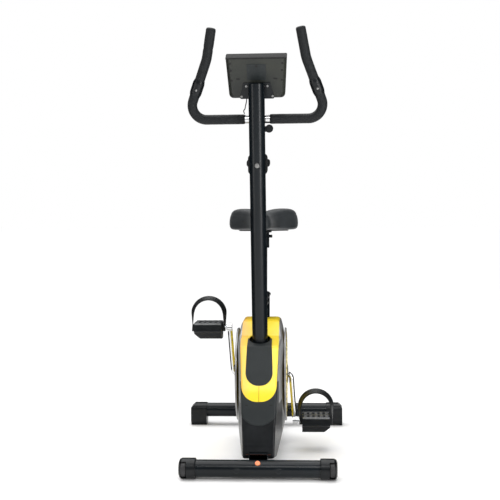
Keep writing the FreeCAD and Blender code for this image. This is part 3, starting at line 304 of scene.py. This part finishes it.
def foam():
    """Closed-cell grip foam: tiny open pores and a dry, dusty face."""
    g = Graph("foam")
    pores = g.cells(1300)
    colour = g.ramp(g.noise(120), [(0.3, (0.004, 0.0055, 0.0068)), (0.8, (0.010, 0.0115, 0.013))])
    g.set(Sheen_Weight=0.08, Sheen_Roughness=0.5, Specular_IOR_Level=0.25)
    return g.use(colour, g.spread(g.noise(60), 0.46, 0.6), g.bump(pores, 0.0005, 0.6))


def yellow(name, seam_and_painted_shade):
    """Glossy yellow cover; where asked, painted shade turns it orange down the flank at negative X, and a
    fine moulding seam runs down the middle with painted shade in its groove.
    """
    g = Graph(name)
    split = g.add("ShaderNodeSeparateXYZ")
    g.join(g.place, split.inputs["Vector"])
    colour = (1.0, 0.74, 0.02)
    grain = g.bump(g.noise(900, 2), 0.00008)
    if seam_and_painted_shade:
        # Painted shade: orange down the flank at negative X, where the yellow falls in shade.
        painted_shade_flank = g.clamped(split.outputs["X"], -0.064, -0.024)
        colour = g.mix(painted_shade_flank, (0.95, 0.5, 0.09), colour)
    speck = g.mix(g.noise(40), (1, 1, 1), (0.92, 0.92, 0.88))
    tinted = g.mix(g.spread(g.noise(9), 0.4, 1.0), colour, speck, "MULTIPLY")
    if seam_and_painted_shade:
        away = g.add("ShaderNodeMath", operation="ABSOLUTE")
        g.join(split.outputs["X"], away.inputs[0])
        # The seam is a groove in the bump, darkened along it with painted shade.
        seam_groove_and_painted_shade = g.clamped(away.outputs["Value"], 0.0003, 0.0009)
        tinted = g.mix(seam_groove_and_painted_shade, (0.42, 0.26, 0.01), tinted)
        grain = g.bump(seam_groove_and_painted_shade, 0.0012, 1.0, grain)
    g.set(Coat_Weight=0.25, Coat_Roughness=0.18)
    return g.use(tinted, g.spread(g.noise(30), 0.3, 0.42), grain)


def webbing():
    """Moulded strap: cross ribs and a slightly greasy black surface."""
    g = Graph("webbing")
    colour = g.ramp(g.noise(150), [(0.3, (0.0055, 0.0065, 0.007)), (0.75, (0.013, 0.0145, 0.016))])
    g.set(Specular_IOR_Level=0.3)
    return g.use(colour, g.spread(g.noise(80), 0.34, 0.5), g.bump(g.cells(900), 0.0002))


def screen():
    """Dark display window with a faint tint drift and tiny dust marks."""
    g = Graph("screen")
    colour = g.ramp(g.noise(18), [(0.3, (0.05, 0.065, 0.06)), (0.8, (0.075, 0.09, 0.082))])
    g.set(Coat_Weight=0.8, Coat_Roughness=0.03)
    return g.use(colour, g.spread(g.noise(400), 0.1, 0.17), g.bump(g.noise(40), 0.00005))


INK = {
    "frame_black": finish("frame_black", (0.0025, 0.0042, 0.0058), (0.005, 0.0078, 0.0102), patch=7,
                          rough=0.25, spread=0.03, grain=1400, depth=0.00012, Specular_IOR_Level=0.27),
    "black_plastic": finish("black_plastic", (0.004, 0.005, 0.006), (0.009, 0.0105, 0.012), patch=30,
                            rough=0.3, spread=0.05, grain=1100, depth=0.0002, Specular_IOR_Level=0.27),
    "dark_grey_plastic": finish("dark_grey_plastic", (0.012, 0.0155, 0.0165), (0.017, 0.0215, 0.0225),
                                patch=16, rough=0.46, spread=0.05, grain=1000, depth=0.00025,
                                Specular_IOR_Level=0.35),
    "silver_plastic": finish("silver_plastic", (0.35, 0.35, 0.35), (0.385, 0.385, 0.38), patch=60,
                             rough=0.34, spread=0.03, grain=1600, depth=0.0001, Metallic=0.55),
    "orange_plastic": finish("orange_plastic", (0.8, 0.16, 0.04), (0.95, 0.3, 0.1), patch=200, rough=0.35,
                             spread=0.05, grain=900, depth=0.0001, Coat_Weight=0.4),
    "rubber": finish("rubber_black", (0.012, 0.012, 0.013), (0.028, 0.028, 0.03), patch=60, rough=0.6,
                     spread=0.08, grain=700, depth=0.0003),
    "cast_iron": brushed("cast_iron", (0.2, 0.2, 0.2), (0.36, 0.36, 0.35), 0.4, (1, 9, 9)),
    "steel_bright": brushed("zinc", (0.55, 0.56, 0.58), (0.74, 0.75, 0.76), 0.3, (6, 1, 6)),
    "steel_chrome": brushed("chrome", (0.6, 0.61, 0.62), (0.72, 0.72, 0.72), 0.08, (1, 1, 4)),
    "yellow_plastic": yellow("cover_yellow", True),
    "yellow_disc": yellow("disc_yellow", False),
    "vinyl": vinyl(),
    "foam": foam(),
    "webbing": webbing(),
    "screen": screen(),
    "olive_plastic": finish("olive_plastic", (0.015, 0.0175, 0.015), (0.025, 0.027, 0.021), patch=14,
                            rough=0.42, spread=0.05, grain=1000, depth=0.00025, Specular_IOR_Level=0.4),
    # Grey well above the dark pedal plastic: a painted highlight for the glossy tops of the tread.
    "tread_grey_painted_highlight": finish("tread_grey_painted_highlight", (0.13, 0.135, 0.14), (0.2, 0.205, 0.21), patch=120, rough=0.28,
                         spread=0.05, grain=900, depth=0.0002),
    # Dark red of the fairing lip: a painted reddish reflection.
    "lip_painted_reflection": finish("lip_painted_reflection", (0.09, 0.022, 0.012), (0.16, 0.045, 0.025), patch=60, rough=0.4,
                      spread=0.06, grain=900, depth=0.0001),
    # Near black: painted shade in slots, wells and vents and over the lit top and front of the console, and
    # the black of the dark cards.
    "painted_shade_and_card_black": finish("painted_shade_and_card_dark", (0.003, 0.003, 0.003), (0.007, 0.007, 0.007), patch=90, rough=0.75,
                     spread=0.1, grain=600, depth=0.0002),
}
PAINT = {
    "frame_black": ["base_frame", "front_stabilizer", "rear_stabilizer", "fork", "mast", "seat_tube",
                    "console_bracket", "stabilizer_bolts", "saddle_clamp", "bar_clamp"],
    "steel_bright": ["stabilizer_nuts", "bearing_cups", "pedal_spindles", "flywheel_shaft",
                     "magnet_bracket"],
    "orange_plastic": ["front_plug"],
    "black_plastic": ["front_cap_left", "front_cap_right", "rear_cap_left", "rear_cap_right", "seat_bush",
                      "seat_knob", "drive_pulley", "pedal_left", "pedal_right", "lower_fairing",
                      "pulse_sensors", "clamp_knob", "tension_base", "tension_knob"],
    "rubber": ["transport_wheel_left", "transport_wheel_right", "belt", "pulse_wire"],
    "steel_chrome": ["wheel_axles", "seat_post", "crank", "handlebar"],
    "cast_iron": ["mast_bolt", "flywheel", "console_screws"],
    "dark_grey_plastic": ["mast_boot", "front_panel", "battery_cover"],
    "yellow_plastic": ["upper_cover", "console_button"],
    "silver_plastic": ["housing_left", "housing_right"],
    # The console front is near black: painted shade where the overhead light falls on it.
    "painted_shade_and_card_black": ["console_front"],
    "screen": ["console_lens"],
}


def paint_nodes():
    """Gives each CAD node its finish."""
    for ink, names in PAINT.items():
        for name in names:
            for slot in frame["nodes"][name].material_slots:
                slot.link = "OBJECT"
                slot.material = INK[ink]


# ---------------------------------------------------------------- mesh helpers

def solid(name, points, faces, ink, body, sharp=35):
    """A piece from points in metres, with outward faces and smooth shading up to a sharp angle."""
    mesh = bpy.data.meshes.new(name)
    mesh.from_pydata([tuple(p) for p in points], [], faces)
    tool = bmesh.new()
    tool.from_mesh(mesh)
    bmesh.ops.remove_doubles(tool, verts=tool.verts, dist=1e-6)
    bmesh.ops.recalc_face_normals(tool, faces=tool.faces)
    tool.to_mesh(mesh)
    tool.free()
    mesh.shade_smooth()
    mesh.set_sharp_from_angle(angle=math.radians(sharp))
    item = bpy.data.objects.new(name, mesh)
    bpy.context.scene.collection.objects.link(item)
    mesh.materials.append(INK[ink])
    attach(item, body)
    return item


def grid_faces(rings, count, caps=True):
    """Quads between successive rings of points, with flat end caps."""
    faces = []
    for ring in range(rings - 1):
        for i in range(count):
            a, b = ring * count + i, ring * count + (i + 1) % count
            faces.append((a, b, b + count, a + count))
    if caps:
        faces.append(tuple(range(count)))
        faces.append(tuple((rings - 1) * count + i for i in range(count)))
    return faces


def rounded_turn(before, here, after, radius, steps_for):
    """Points of the arc that rounds off one corner; steps_for says how many steps a length of arc has."""
    back, ahead = (before - here).normalized(), (after - here).normalized()
    half = back.angle(ahead) / 2
    reach = radius / math.tan(half)
    middle = here + (back + ahead).normalized() * radius / math.sin(half)
    first = (here + back * reach - middle).normalized()
    last = (here + ahead * reach - middle).normalized()
    steps = steps_for(first.angle(last) * radius)
    return [middle + first.slerp(last, k / steps) * radius for k in range(steps + 1)]


def path_of(corners, step=0.004):
    """Points along straight runs joined by arcs; corners are (x, y, z, radius) in metres."""
    spots = [Vector(c[:3]) for c in corners]
    found = [spots[0]]
    for i in range(1, len(spots) - 1):
        found += rounded_turn(*spots[i - 1:i + 2], corners[i][3], lambda length: max(2, int(length / step)))
    return evenly(found + [spots[-1]], step)


def evenly(points, step):
    """The same line resampled so that neighbouring points are about one step apart."""
    lengths = [0.0]
    for a, b in zip(points, points[1:]):
        lengths.append(lengths[-1] + (b - a).length)
    count = max(2, round(lengths[-1] / step))
    result, k = [], 0
    for i in range(count + 1):
        goal = lengths[-1] * i / count
        while k < len(points) - 2 and lengths[k + 1] < goal:
            k += 1
        share = (goal - lengths[k]) / max(lengths[k + 1] - lengths[k], 1e-9)
        result.append(points[k].lerp(points[k + 1], min(max(share, 0), 1)))
    return result


TUBE_SIDES = 28


def tube(path, radius_at, flat_normal):
    """Rings round a line that lies in one plane; radius_at gives the radius at each of its points."""
    points = []
    for i, spot in enumerate(path):
        ahead = (path[min(i + 1, len(path) - 1)] - path[max(i - 1, 0)]).normalized()
        across = flat_normal.cross(ahead).normalized()
        radius = radius_at(i)
        for k in range(TUBE_SIDES):
            angle = 2 * math.pi * k / TUBE_SIDES
            points.append(spot + (across * math.cos(angle) + flat_normal * math.sin(angle)) * radius)
    return points


def lathe(profile, place, sides=32):
    """Turned form: profile holds (radius, along) pairs in metres, along the place's Z axis."""
    points = []
    for radius, along in profile:
        for k in range(sides):
            angle = 2 * math.pi * k / sides
            points.append(place @ Vector((radius * math.cos(angle), radius * math.sin(angle), along)))
    return points, grid_faces(len(profile), sides)


def block(low, high, place, bevel=0.0006):
    """A box with every edge rounded, as points and faces."""
    tool = bmesh.new()
    bmesh.ops.create_cube(tool, size=1)
    low, high = Vector(low), Vector(high)
    for vert in tool.verts:
        vert.co = Vector((low[i] if vert.co[i] < 0 else high[i]) for i in range(3))
    bmesh.ops.bevel(tool, geom=tool.edges[:], offset=bevel, segments=2, affect="EDGES", profile=0.6)
    tool.verts.index_update()
    points = [place @ v.co for v in tool.verts]
    faces = [tuple(v.index for v in f.verts) for f in tool.faces]
    tool.free()
    return points, faces


def grid_seam(rings, count):
    """Quads that join the last ring of a turned ring form back to its first."""
    top = (rings - 1) * count
    return [(i, (i + 1) % count, top + (i + 1) % count, top + i) for i in range(count)]


def turned_ring(profile, place, sides):
    """Turned form with a hole through it: the profile is a closed section."""
    points, _ = lathe(profile, place, sides)
    return points, grid_faces(len(profile), sides, caps=False) + grid_seam(len(profile), sides)


def merged(parts):
    """Several sets of points and faces as one."""
    points, faces = [], []
    for part_points, part_faces in parts:
        start = len(points)
        points.extend(part_points)
        faces.extend(tuple(i + start for i in face) for face in part_faces)
    return points, faces


def skin_of(name):
    """Search tree of a CAD node's surface."""
    mesh = frame["nodes"][name].data
    spots = [v.co.copy() for v in mesh.vertices]
    return BVHTree.FromPolygons(spots, [tuple(p.vertices) for p in mesh.polygons])


def facing(spot, normal, up=Vector((0, 0, 1))):
    """Place on a surface: Z along the normal, Y as near to up as it can be."""
    z = normal.normalized()
    x = up.cross(z).normalized()
    y = z.cross(x)
    turn = Matrix((x, y, z)).transposed().to_4x4()
    return Matrix.Translation(spot) @ turn


# ---------------------------------------------------------------- saddle

# (distance behind the crank axis, half width) of the plan shape, in millimetres
HALF_WIDTHS = [(-11, 0), (-9.5, 14), (-4, 24), (5, 30), (20, 33), (50, 37), (80, 44), (108, 57), (130, 74),
               (148, 94), (163, 109), (180, 117), (205, 120), (230, 119), (247, 113), (258, 101),
               (266, 80), (270, 50), (271.5, 22), (272, 0)]
SADDLE_FOOT, SADDLE_SPOTS = 713, 132
SPINE_START, SPINE_END = 22, 205
# (millimetres in from the edge, share of the height) from the underside, up the side and over to the crown
PROFILE = [(60, 0.0), (26, 0.0), (15, 0.008), (8, 0.035), (3.6, 0.09), (0.9, 0.18), (0, 0.3), (0.6, 0.46),
           (2.4, 0.6), (4.2, 0.68), (6.0, 0.715), (6.2, 0.735), (6.6, 0.775), (10, 0.85), (15, 0.91),
           (22, 0.955), (31, 0.985), (44, 1.0), (60, 1.0), (90, 1.0), (140, 1.0)]
SHOULDER, CROWN = 31, 140
PAN_INSET, PAN_FOOT = 34, 709.5


def saddle_outline():
    """Smooth plan shape of the saddle, evenly spaced, once round."""
    side = [Vector((w, y, 0)) for y, w in HALF_WIDTHS]
    other = [Vector((-p.x, p.y, 0)) for p in reversed(side[1:-1])]
    loop = side + other + [side[0]]
    for _ in range(2):
        finer = []
        for a, b in zip(loop, loop[1:]):
            finer += [a.lerp(b, 0.25), a.lerp(b, 0.75)]
        loop = finer + [finer[0]]
    length = sum((b - a).length for a, b in zip(loop, loop[1:]))
    return evenly(loop, length / SADDLE_SPOTS)[:SADDLE_SPOTS]


def smooth_step(value, start, width):
    """0 before the start, 1 after the width, with a smooth rise between."""
    share = min(max((value - start) / width, 0), 1)
    return share * share * (3 - 2 * share)


def saddle_height(x, y):
    """Thickness in millimetres over each spot: lower nose, raised wings and a centre channel."""
    nose_high, back_rise, wing_rise, channel_deep, tail_drop = 58.5, 11.5, 3.5, 9, 4
    rise = smooth_step(y, 30, 130)
    tail = min(max((y - 215) / 57, 0), 1)
    wing = min(abs(x) / 95, 1)
    channel = channel_deep * math.exp(-(x / 20) ** 2) * rise
    return (nose_high + back_rise * rise + wing_rise * rise * math.sin(wing * math.pi / 2) - channel
            - tail_drop * tail * tail)


def drawn_in(edge, inset, on_top):
    """Spot on the way from the saddle's edge to its spine; rings over the crown share what is left of it."""
    spine = Vector((0, min(max(edge.y, SPINE_START), SPINE_END), 0))
    gap = (spine - edge).length
    share = inset / gap
    if on_top and inset > SHOULDER:
        share = SHOULDER / gap + (1 - SHOULDER / gap) * (inset - SHOULDER) / (CROWN - SHOULDER)
    return edge.lerp(spine, min(share, 0.999))


def saddle():
    """Cushion cover with a rounded underside, a stitched groove round its side and a shaped crown."""
    outline = saddle_outline()
    points = []
    for inset, share in PROFILE:
        for edge in outline:
            at = drawn_in(edge, inset, on_top=share > 0.5)
            points.append(Vector((at.x, at.y, SADDLE_FOOT + share * saddle_height(at.x, at.y))) * MM)
    item = solid("saddle_cover", points, grid_faces(len(PROFILE), SADDLE_SPOTS), "vinyl", "seat", 80)
    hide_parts("saddle")
    soften_seam(item)


def saddle_pan():
    """Thin pan drawn in from the cushion's edge, with a boss that meets the clamp."""
    points = []
    for height in (PAN_FOOT, SADDLE_FOOT):
        for edge in saddle_outline():
            spine = Vector((0, min(max(edge.y, SPINE_START + 24), SPINE_END), 0))
            at = edge.lerp(spine, min(PAN_INSET / (spine - edge).length, 0.7))
            points.append(Vector((at.x, at.y, height)) * MM)
    plate = points, grid_faces(2, SADDLE_SPOTS)
    boss = block((-0.030, 0.058, 0.705), (0.030, 0.120, 0.711), Matrix.Identity(4), 0.0015)
    points, faces = merged([plate, boss])
    item = solid("saddle_plate", points, faces, "black_plastic", "seat")
    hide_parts("saddle_pan")


def soften_seam(item):
    """One subdivision rounds the cover and leaves the stitched groove as a crease."""
    more = item.modifiers.new("round", "SUBSURF")
    more.levels = more.render_levels = 1


# ---------------------------------------------------------------- grips and handlebar

GRIP_START, GRIP_END = 37 * MM, 266 * MM
CORNER, CORNER_ROUND = (212.8 * MM, 0), 42 * MM
BEND, BEND_ROUND = (146.2 * MM, 178.8 * MM), 120 * MM
LEAN_IN = 0.185
GRIP_RADIUS, GRIP_WAVE = 14.7 * MM, 0.3 * MM
GRIP_CREASES = {"right": (14, 15), "left": ()}
TIP = [(1.2 * MM, 0.82), (2.2 * MM, 0.6), (2.7 * MM, 0.3)]
SENSOR_ALONG, SENSOR_FRONT = 96 * MM, 16.8 * MM


def grip_path(side):
    """Middle line of one grip: out along the bar, up round the corner and over the bend to the tip."""
    top = BEND[0] - LEAN_IN * (GRIP_END - BEND[1])
    corners = [(GRIP_START, 0, 0), (*CORNER, CORNER_ROUND), (*BEND, BEND_ROUND), (top, GRIP_END, 0)]
    flat = path_of([(x, z, 0, radius) for x, z, radius in corners])
    return [BAR @ Vector((side * spot.x, 0, spot.y)) for spot in flat]


def grip_tip(path, normal):
    """Rings of the domed end of a grip."""
    ahead = (path[-1] - path[-2]).normalized()
    across = normal.cross(ahead).normalized()
    points = []
    for lift, share in TIP:
        for k in range(TUBE_SIDES):
            angle = 2 * math.pi * k / TUBE_SIDES
            out = across * math.cos(angle) + normal * math.sin(angle)
            points.append(path[-1] + ahead * lift + out * GRIP_RADIUS * share)
    return points


def grips():
    """Foam grips with slightly uneven sides, drawn in where they start and domed where they end."""
    normal = BAR.to_3x3() @ Vector((0, 1, 0))
    for name, side in SIDES.items():
        path = grip_path(side)
        last = len(path) - 1

        def radius_at(i):
            base = GRIP_RADIUS + GRIP_WAVE * noise.noise(path[i] * 60)
            if i in (0, last):
                return base * 0.9
            return base * (0.955 if last - i in GRIP_CREASES[name] else 1.0)

        points = tube(path, radius_at, normal) + grip_tip(path, normal)
        faces = grid_faces(len(path) + len(TIP), TUBE_SIDES)
        item = solid(f"grip_{name}", points, faces, "foam", "handlebar", 60)
        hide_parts(f"foam_{name}")


def sensor_screws():
    """Dull dome screw on the front of each pulse sensor."""
    dome = [(0.0034, -0.001), (0.0034, 0.0005), (0.0027, 0.0012), (0.0014, 0.0016), (0.0003, 0.0017)]
    corner, bend = Vector((CORNER[0], 0, CORNER[1])), Vector((BEND[0], 0, BEND[1]))
    front = Vector((0, -1, 0))
    spot = corner + (bend - corner).normalized() * SENSOR_ALONG + front * SENSOR_FRONT
    for name, side in SIDES.items():
        place = BAR @ Matrix.Diagonal((side, 1, 1, 1)) @ facing(spot, front)
        points, faces = lathe(dome, place, 20)
        solid(f"sensor_screw_{name}", points, faces, "cast_iron", "handlebar")


# ---------------------------------------------------------------- pedals

TREAD_BARS, TREAD_STEP, TREAD_HALF = 5, 17 * MM, 4.5 * MM
TREAD_LOW, TREAD_TOP, TREAD_NEAR, TREAD_FAR = 14.5 * MM, 19.5 * MM, 6 * MM, 36 * MM
RAIL_HALF, RAIL_OUT = 43 * MM, 39.5 * MM
STRAP_RADIUS, STRAP_HALF, STRAP_SPRING, STRAP_FOOT = 52.3 * MM, 12 * MM, 43 * MM, -12 * MM
STRAP_STEP, STRAP_FLARE, STRAP_RIB, STRAP_BACK = 2.2 * MM, 5.5 * MM, 0.6 * MM, -0.8 * MM
# (share of the half width, lift) across a strap: raised rims and a lower middle
STRAP_SECTION = [(-1, 0.0011), (-0.86, 0.0018), (-0.72, 0.0016), (-0.66, 0.0009), (0.66, 0.0009),
                 (0.72, 0.0016), (0.86, 0.0018), (1, 0.0011)]


def pedal_treads():
    """Raised tread bars across the top of each pedal, with a rail at front, middle and back, in a grey
    lightened as a painted highlight.
    """
    for name in SIDES:
        place = Matrix.Translation(PEDALS[name])
        parts = []
        for i in range(TREAD_BARS):
            x = (i - (TREAD_BARS - 1) / 2) * TREAD_STEP
            for near, far in ((-TREAD_FAR, -TREAD_NEAR), (TREAD_NEAR, TREAD_FAR)):
                parts.append(block((x - TREAD_HALF, near, TREAD_LOW), (x + TREAD_HALF, far, TREAD_TOP),
                                   place, 0.001))
        for y in (-RAIL_OUT, RAIL_OUT):
            parts.append(block((-RAIL_HALF, y - 0.0015, 0.012), (RAIL_HALF, y + 0.0015, 0.0185), place,
                               0.0008))
        parts.append(block((-RAIL_HALF, -0.003, 0.014), (RAIL_HALF, 0.003, 0.018), place, 0.001))
        points, faces = merged(parts)
        solid(f"pedal_tread_{name}", points, faces, "tread_grey_painted_highlight", f"pedal_{name}")


def strap_points(path, pedal):
    """Ring of section points at each spot of a strap's arch, wider towards the top of the arch."""
    section = STRAP_SECTION + [(share, STRAP_BACK) for share, _ in reversed(STRAP_SECTION)]
    points = []
    for i, spot in enumerate(path):
        ahead = (path[min(i + 1, len(path) - 1)] - path[max(i - 1, 0)]).normalized()
        out = Vector((-ahead.y, ahead.x, 0))
        rib = STRAP_RIB if i % 4 < 2 else 0.0
        flare = STRAP_FLARE * min(max((spot.y + 0.005) / 0.06, 0), 1)
        for share, lift in section:
            ribbed = (rib if lift > 0 else -0.6 * rib) if abs(share) < 0.7 else 0.0
            flat = spot + out * (lift + ribbed + flare * share)
            points.append(pedal + Vector((flat.x, share * STRAP_HALF, flat.y)))
    return points, grid_faces(len(path), len(section))


def straps():
    """Moulded pedal straps with raised rims and cross ribs."""
    shoulder = STRAP_SPRING + STRAP_RADIUS
    turn = STRAP_RADIUS - 0.2 * MM
    corners = [(-STRAP_RADIUS, STRAP_FOOT, 0, 0), (-STRAP_RADIUS, shoulder, 0, turn),
               (STRAP_RADIUS, shoulder, 0, turn), (STRAP_RADIUS, STRAP_FOOT, 0, 0)]
    path = path_of(corners, STRAP_STEP)
    for name in SIDES:
        points, faces = strap_points(path, PEDALS[name])
        item = solid(f"strap_band_{name}", points, faces, "webbing", f"pedal_{name}", 50)
        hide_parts(f"strap_{name}")


# ---------------------------------------------------------------- housing details

DISC_FACE, DISC_SIDES = 74.2 * MM, 128
DISC_RIM = [(0.143, 0.0), (0.1498, 0.0), (0.15, 0.0012), (0.15, 0.004), (0.1488, 0.0056), (0.1466, 0.0058),
            (0.1448, 0.005), (0.1445, 0.0035)]
DISC_DOME = [(0.0228, 0.0), (0.1438, 0.0), (0.1442, 0.002), (0.143, 0.0042), (0.139, 0.0056), (0.12, 0.0066),
             (0.09, 0.0074), (0.06, 0.0077), (0.034, 0.0077), (0.0245, 0.0074), (0.0228, 0.0068)]
VENTS, VENT_HALF = 40, 2.4 * MM
# (distance from the crank axis, half length, height above the face plane) of each ring of vents
VENT_RINGS = [(129 * MM, 6.2 * MM, 6.4 * MM), (111 * MM, 4.2 * MM, 7.0 * MM)]
COLLAR_FACE = 81.5 * MM
COLLAR = [(0.0225, 0), (0.030, 0.0002), (0.0302, 0.0014), (0.029, 0.0024), (0.0235, 0.003), (0.0222, 0.0024)]


def on_crank_axis(side, away):
    """Place on the crank axis, that far out to one side and facing outwards."""
    return facing(Vector((side * away, 0, CRANK_AXIS.z)), Vector((side, 0, 0)))


def panel_slots():
    """Two slots in the front panel, dark with painted shade."""
    tree = skin_of("front_panel")
    parts = []
    for x in (-0.0365, 0.0365):
        spot, normal = tree.ray_cast(Vector((x, -0.6, 0.1965)), Vector((0, 1, 0)))[:2]
        parts.append(block((-0.0045, -0.0016, -0.001), (0.0045, 0.0016, 0.0003), facing(spot, normal),
                           0.0004))
    points, faces = merged(parts)
    solid("panel_slots", points, faces, "painted_shade_and_card_black", "frame")


def vent_slots(side):
    """Radial slots in two rings round one side disc, dark with painted shade."""
    slots = []
    for i in range(VENTS):
        angle = 2 * math.pi * i / VENTS
        out = Vector((0, math.cos(angle), math.sin(angle)))
        for radius, half, lift in VENT_RINGS:
            spot = Vector((side * (DISC_FACE + lift), 0, CRANK_AXIS.z)) + out * radius
            place = facing(spot, Vector((side, 0, 0)), out)
            slots.append(block((-VENT_HALF, -half, -0.001), (VENT_HALF, half, 0.0003), place, 0.0003))
    return merged(slots)


def side_discs():
    """Domed yellow side covers with a silver rim and two rings of vent slots."""
    for name, side in SIDES.items():
        place = on_crank_axis(side, DISC_FACE)
        points, faces = turned_ring(DISC_RIM, place, DISC_SIDES)
        solid(f"disc_rim_{name}", points, faces, "silver_plastic", "frame")
        points, faces = turned_ring(DISC_DOME, place, DISC_SIDES)
        item = solid(f"disc_face_{name}", points, faces, "yellow_disc", "frame")
        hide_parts(f"disc_{name}")
        points, faces = vent_slots(side)
        solid(f"disc_vents_{name}", points, faces, "painted_shade_and_card_black", "frame")


def crank_collars():
    """Trim collar where each crank arm leaves its side disc."""
    for name, side in SIDES.items():
        points, faces = turned_ring(COLLAR, on_crank_axis(side, COLLAR_FACE), 48)
        solid(f"crank_collar_{name}", points, faces, "black_plastic", "frame")


# ---------------------------------------------------------------- console

CONSOLE_HALF, CONSOLE_RISE, CONSOLE_DEEP = 90.2 * MM, 63.8 * MM, 23.8 * MM
CONSOLE_TAPER, TOP_ROUND, FOOT_ROUND, ROUND_STEPS = 7 * MM, 3 * MM, 14 * MM, 8
# (drawn in from the outline, depth) from the back face, over the sloped flanks, to the open front edge
FLANKS = [(0.012, 0.0002), (0.0105, 0.0), (0.0092, 0.0005), (0.0012, 0.0085), (0.0, 0.0105),
          (0.0, CONSOLE_DEEP)]
WELLS = [(0.0765, 0.046), (0.0755, 0.025), (0.0745, -0.005), (0.0735, -0.054)]
WELL = [(0.0031, -0.001), (0.0031, 0.0006), (0.0024, 0.0009), (0.0002, 0.0009)]
MIDDLE_WELL = [(0.004, -0.001), (0.004, 0.0008), (0.0032, 0.001), (0.0002, 0.001)]


def console_outline():
    """Back view of the console: narrower at the foot, with rounded lower corners."""
    foot_half = CONSOLE_HALF - CONSOLE_TAPER
    corners = [Vector((-CONSOLE_HALF, CONSOLE_RISE)), Vector((CONSOLE_HALF, CONSOLE_RISE)),
               Vector((foot_half, -CONSOLE_RISE)), Vector((-foot_half, -CONSOLE_RISE))]
    loop = []
    for i, radius in enumerate((TOP_ROUND, TOP_ROUND, FOOT_ROUND, FOOT_ROUND)):
        loop += rounded_turn(corners[i - 1], corners[i], corners[(i + 1) % 4], radius, lambda _: ROUND_STEPS)
    return loop


def console_loop(inset, depth):
    """One turn of the console's outline, drawn in from its sides and bottom, at a depth."""
    placed = []
    for spot in console_outline():
        x = spot.x * (1 - inset / CONSOLE_HALF)
        pull = 0.9 if spot.y < 0 else -0.25
        z = spot.y + inset * pull * abs(spot.y) / CONSOLE_RISE
        placed.append(CONSOLE @ Vector((x, depth, z)))
    return placed


def on_console_back(x, z, proud):
    """Place on the console's back face, facing the way that it faces."""
    return facing(CONSOLE @ Vector((x, proud, z)), CONSOLE.to_3x3() @ Vector((0, -1, 0)))


def console_shell():
    """Back shell with sloped flanks."""
    points = []
    for inset, depth in FLANKS:
        points.extend(console_loop(inset, depth))
    faces = grid_faces(len(FLANKS), len(points) // len(FLANKS))
    item = solid("console_shell", points, faces, "olive_plastic", "frame", 28)
    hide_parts("console_back")


def console_lip_and_painted_shade():
    """Dark lip over the top of the shell, partly a real lip and partly painted shade over the lit top face,
    and the parting line at its front edge.
    """
    lip_and_painted_shade = block((-0.0899, -0.0012, 0.0596), (0.0899, CONSOLE_DEEP, 0.0646), CONSOLE, 0.0012)
    parting = block((-0.0906, CONSOLE_DEEP - 0.0008, 0.0626), (0.0906, CONSOLE_DEEP + 0.0004, 0.0638),
                    CONSOLE, 0.0002)
    points, faces = merged([lip_and_painted_shade, parting])
    solid("console_lip_and_painted_shade", points, faces, "painted_shade_and_card_black", "frame")


def console_wells():
    """Screw wells down both sides, one over the battery cover, and two vents, all dark with painted shade."""
    wells = []
    for side in (-1, 1):
        for x, z in WELLS:
            wells.append(lathe(WELL, on_console_back(side * x, z, 0.0004), 20))
        wells.append(block((side * 0.055 - 0.0055, -0.0005, -0.003), (side * 0.055 + 0.0055, 0.001, 0.0012),
                           CONSOLE, 0.0003))
    wells.append(lathe(MIDDLE_WELL, on_console_back(0, 0.0385, -0.0004), 24))
    points, faces = merged(wells)
    solid("console_wells", points, faces, "painted_shade_and_card_black", "frame")


# ---------------------------------------------------------------- lower fairing

LIP_HALF, LIP_SPOTS, LIP_LEVEL = 37 * MM, 25, 60 * MM
# (away from the skin, up) round the section of the lip
LIP_SECTION = [(-0.001, 0.0009), (0.0009, 0.0007), (0.0009, -0.0007), (-0.001, -0.0009)]


def fairing_lip():
    """Thin lip across the foot of the lower fairing, as far as its skin reaches, coloured with a painted
    reddish reflection.
    """
    tree = skin_of("lower_fairing")
    places = [LIP_HALF * (2 * i / (LIP_SPOTS - 1) - 1) for i in range(LIP_SPOTS)]
    hits = [tree.ray_cast(Vector((x, -0.8, LIP_LEVEL)), Vector((0, 1, 0)))[:2] for x in places]
    rings = [(spot, normal) for spot, normal in hits if spot is not None]
    points = [spot + normal * lift + Vector((0, 0, rise)) for spot, normal in rings
              for lift, rise in LIP_SECTION]
    faces = grid_faces(len(rings), len(LIP_SECTION))
    solid("fairing_lip", points, faces, "lip_painted_reflection", "frame")


# ---------------------------------------------------------------- build

camera()
world()
lamps()
floor()
dark_cards()
paint_nodes()
saddle()
saddle_pan()
grips()
sensor_screws()
pedal_treads()
straps()
panel_slots()
side_discs()
crank_collars()
console_shell()
console_lip_and_painted_shade()
console_wells()
fairing_lip()
bpy.context.view_layer.update()
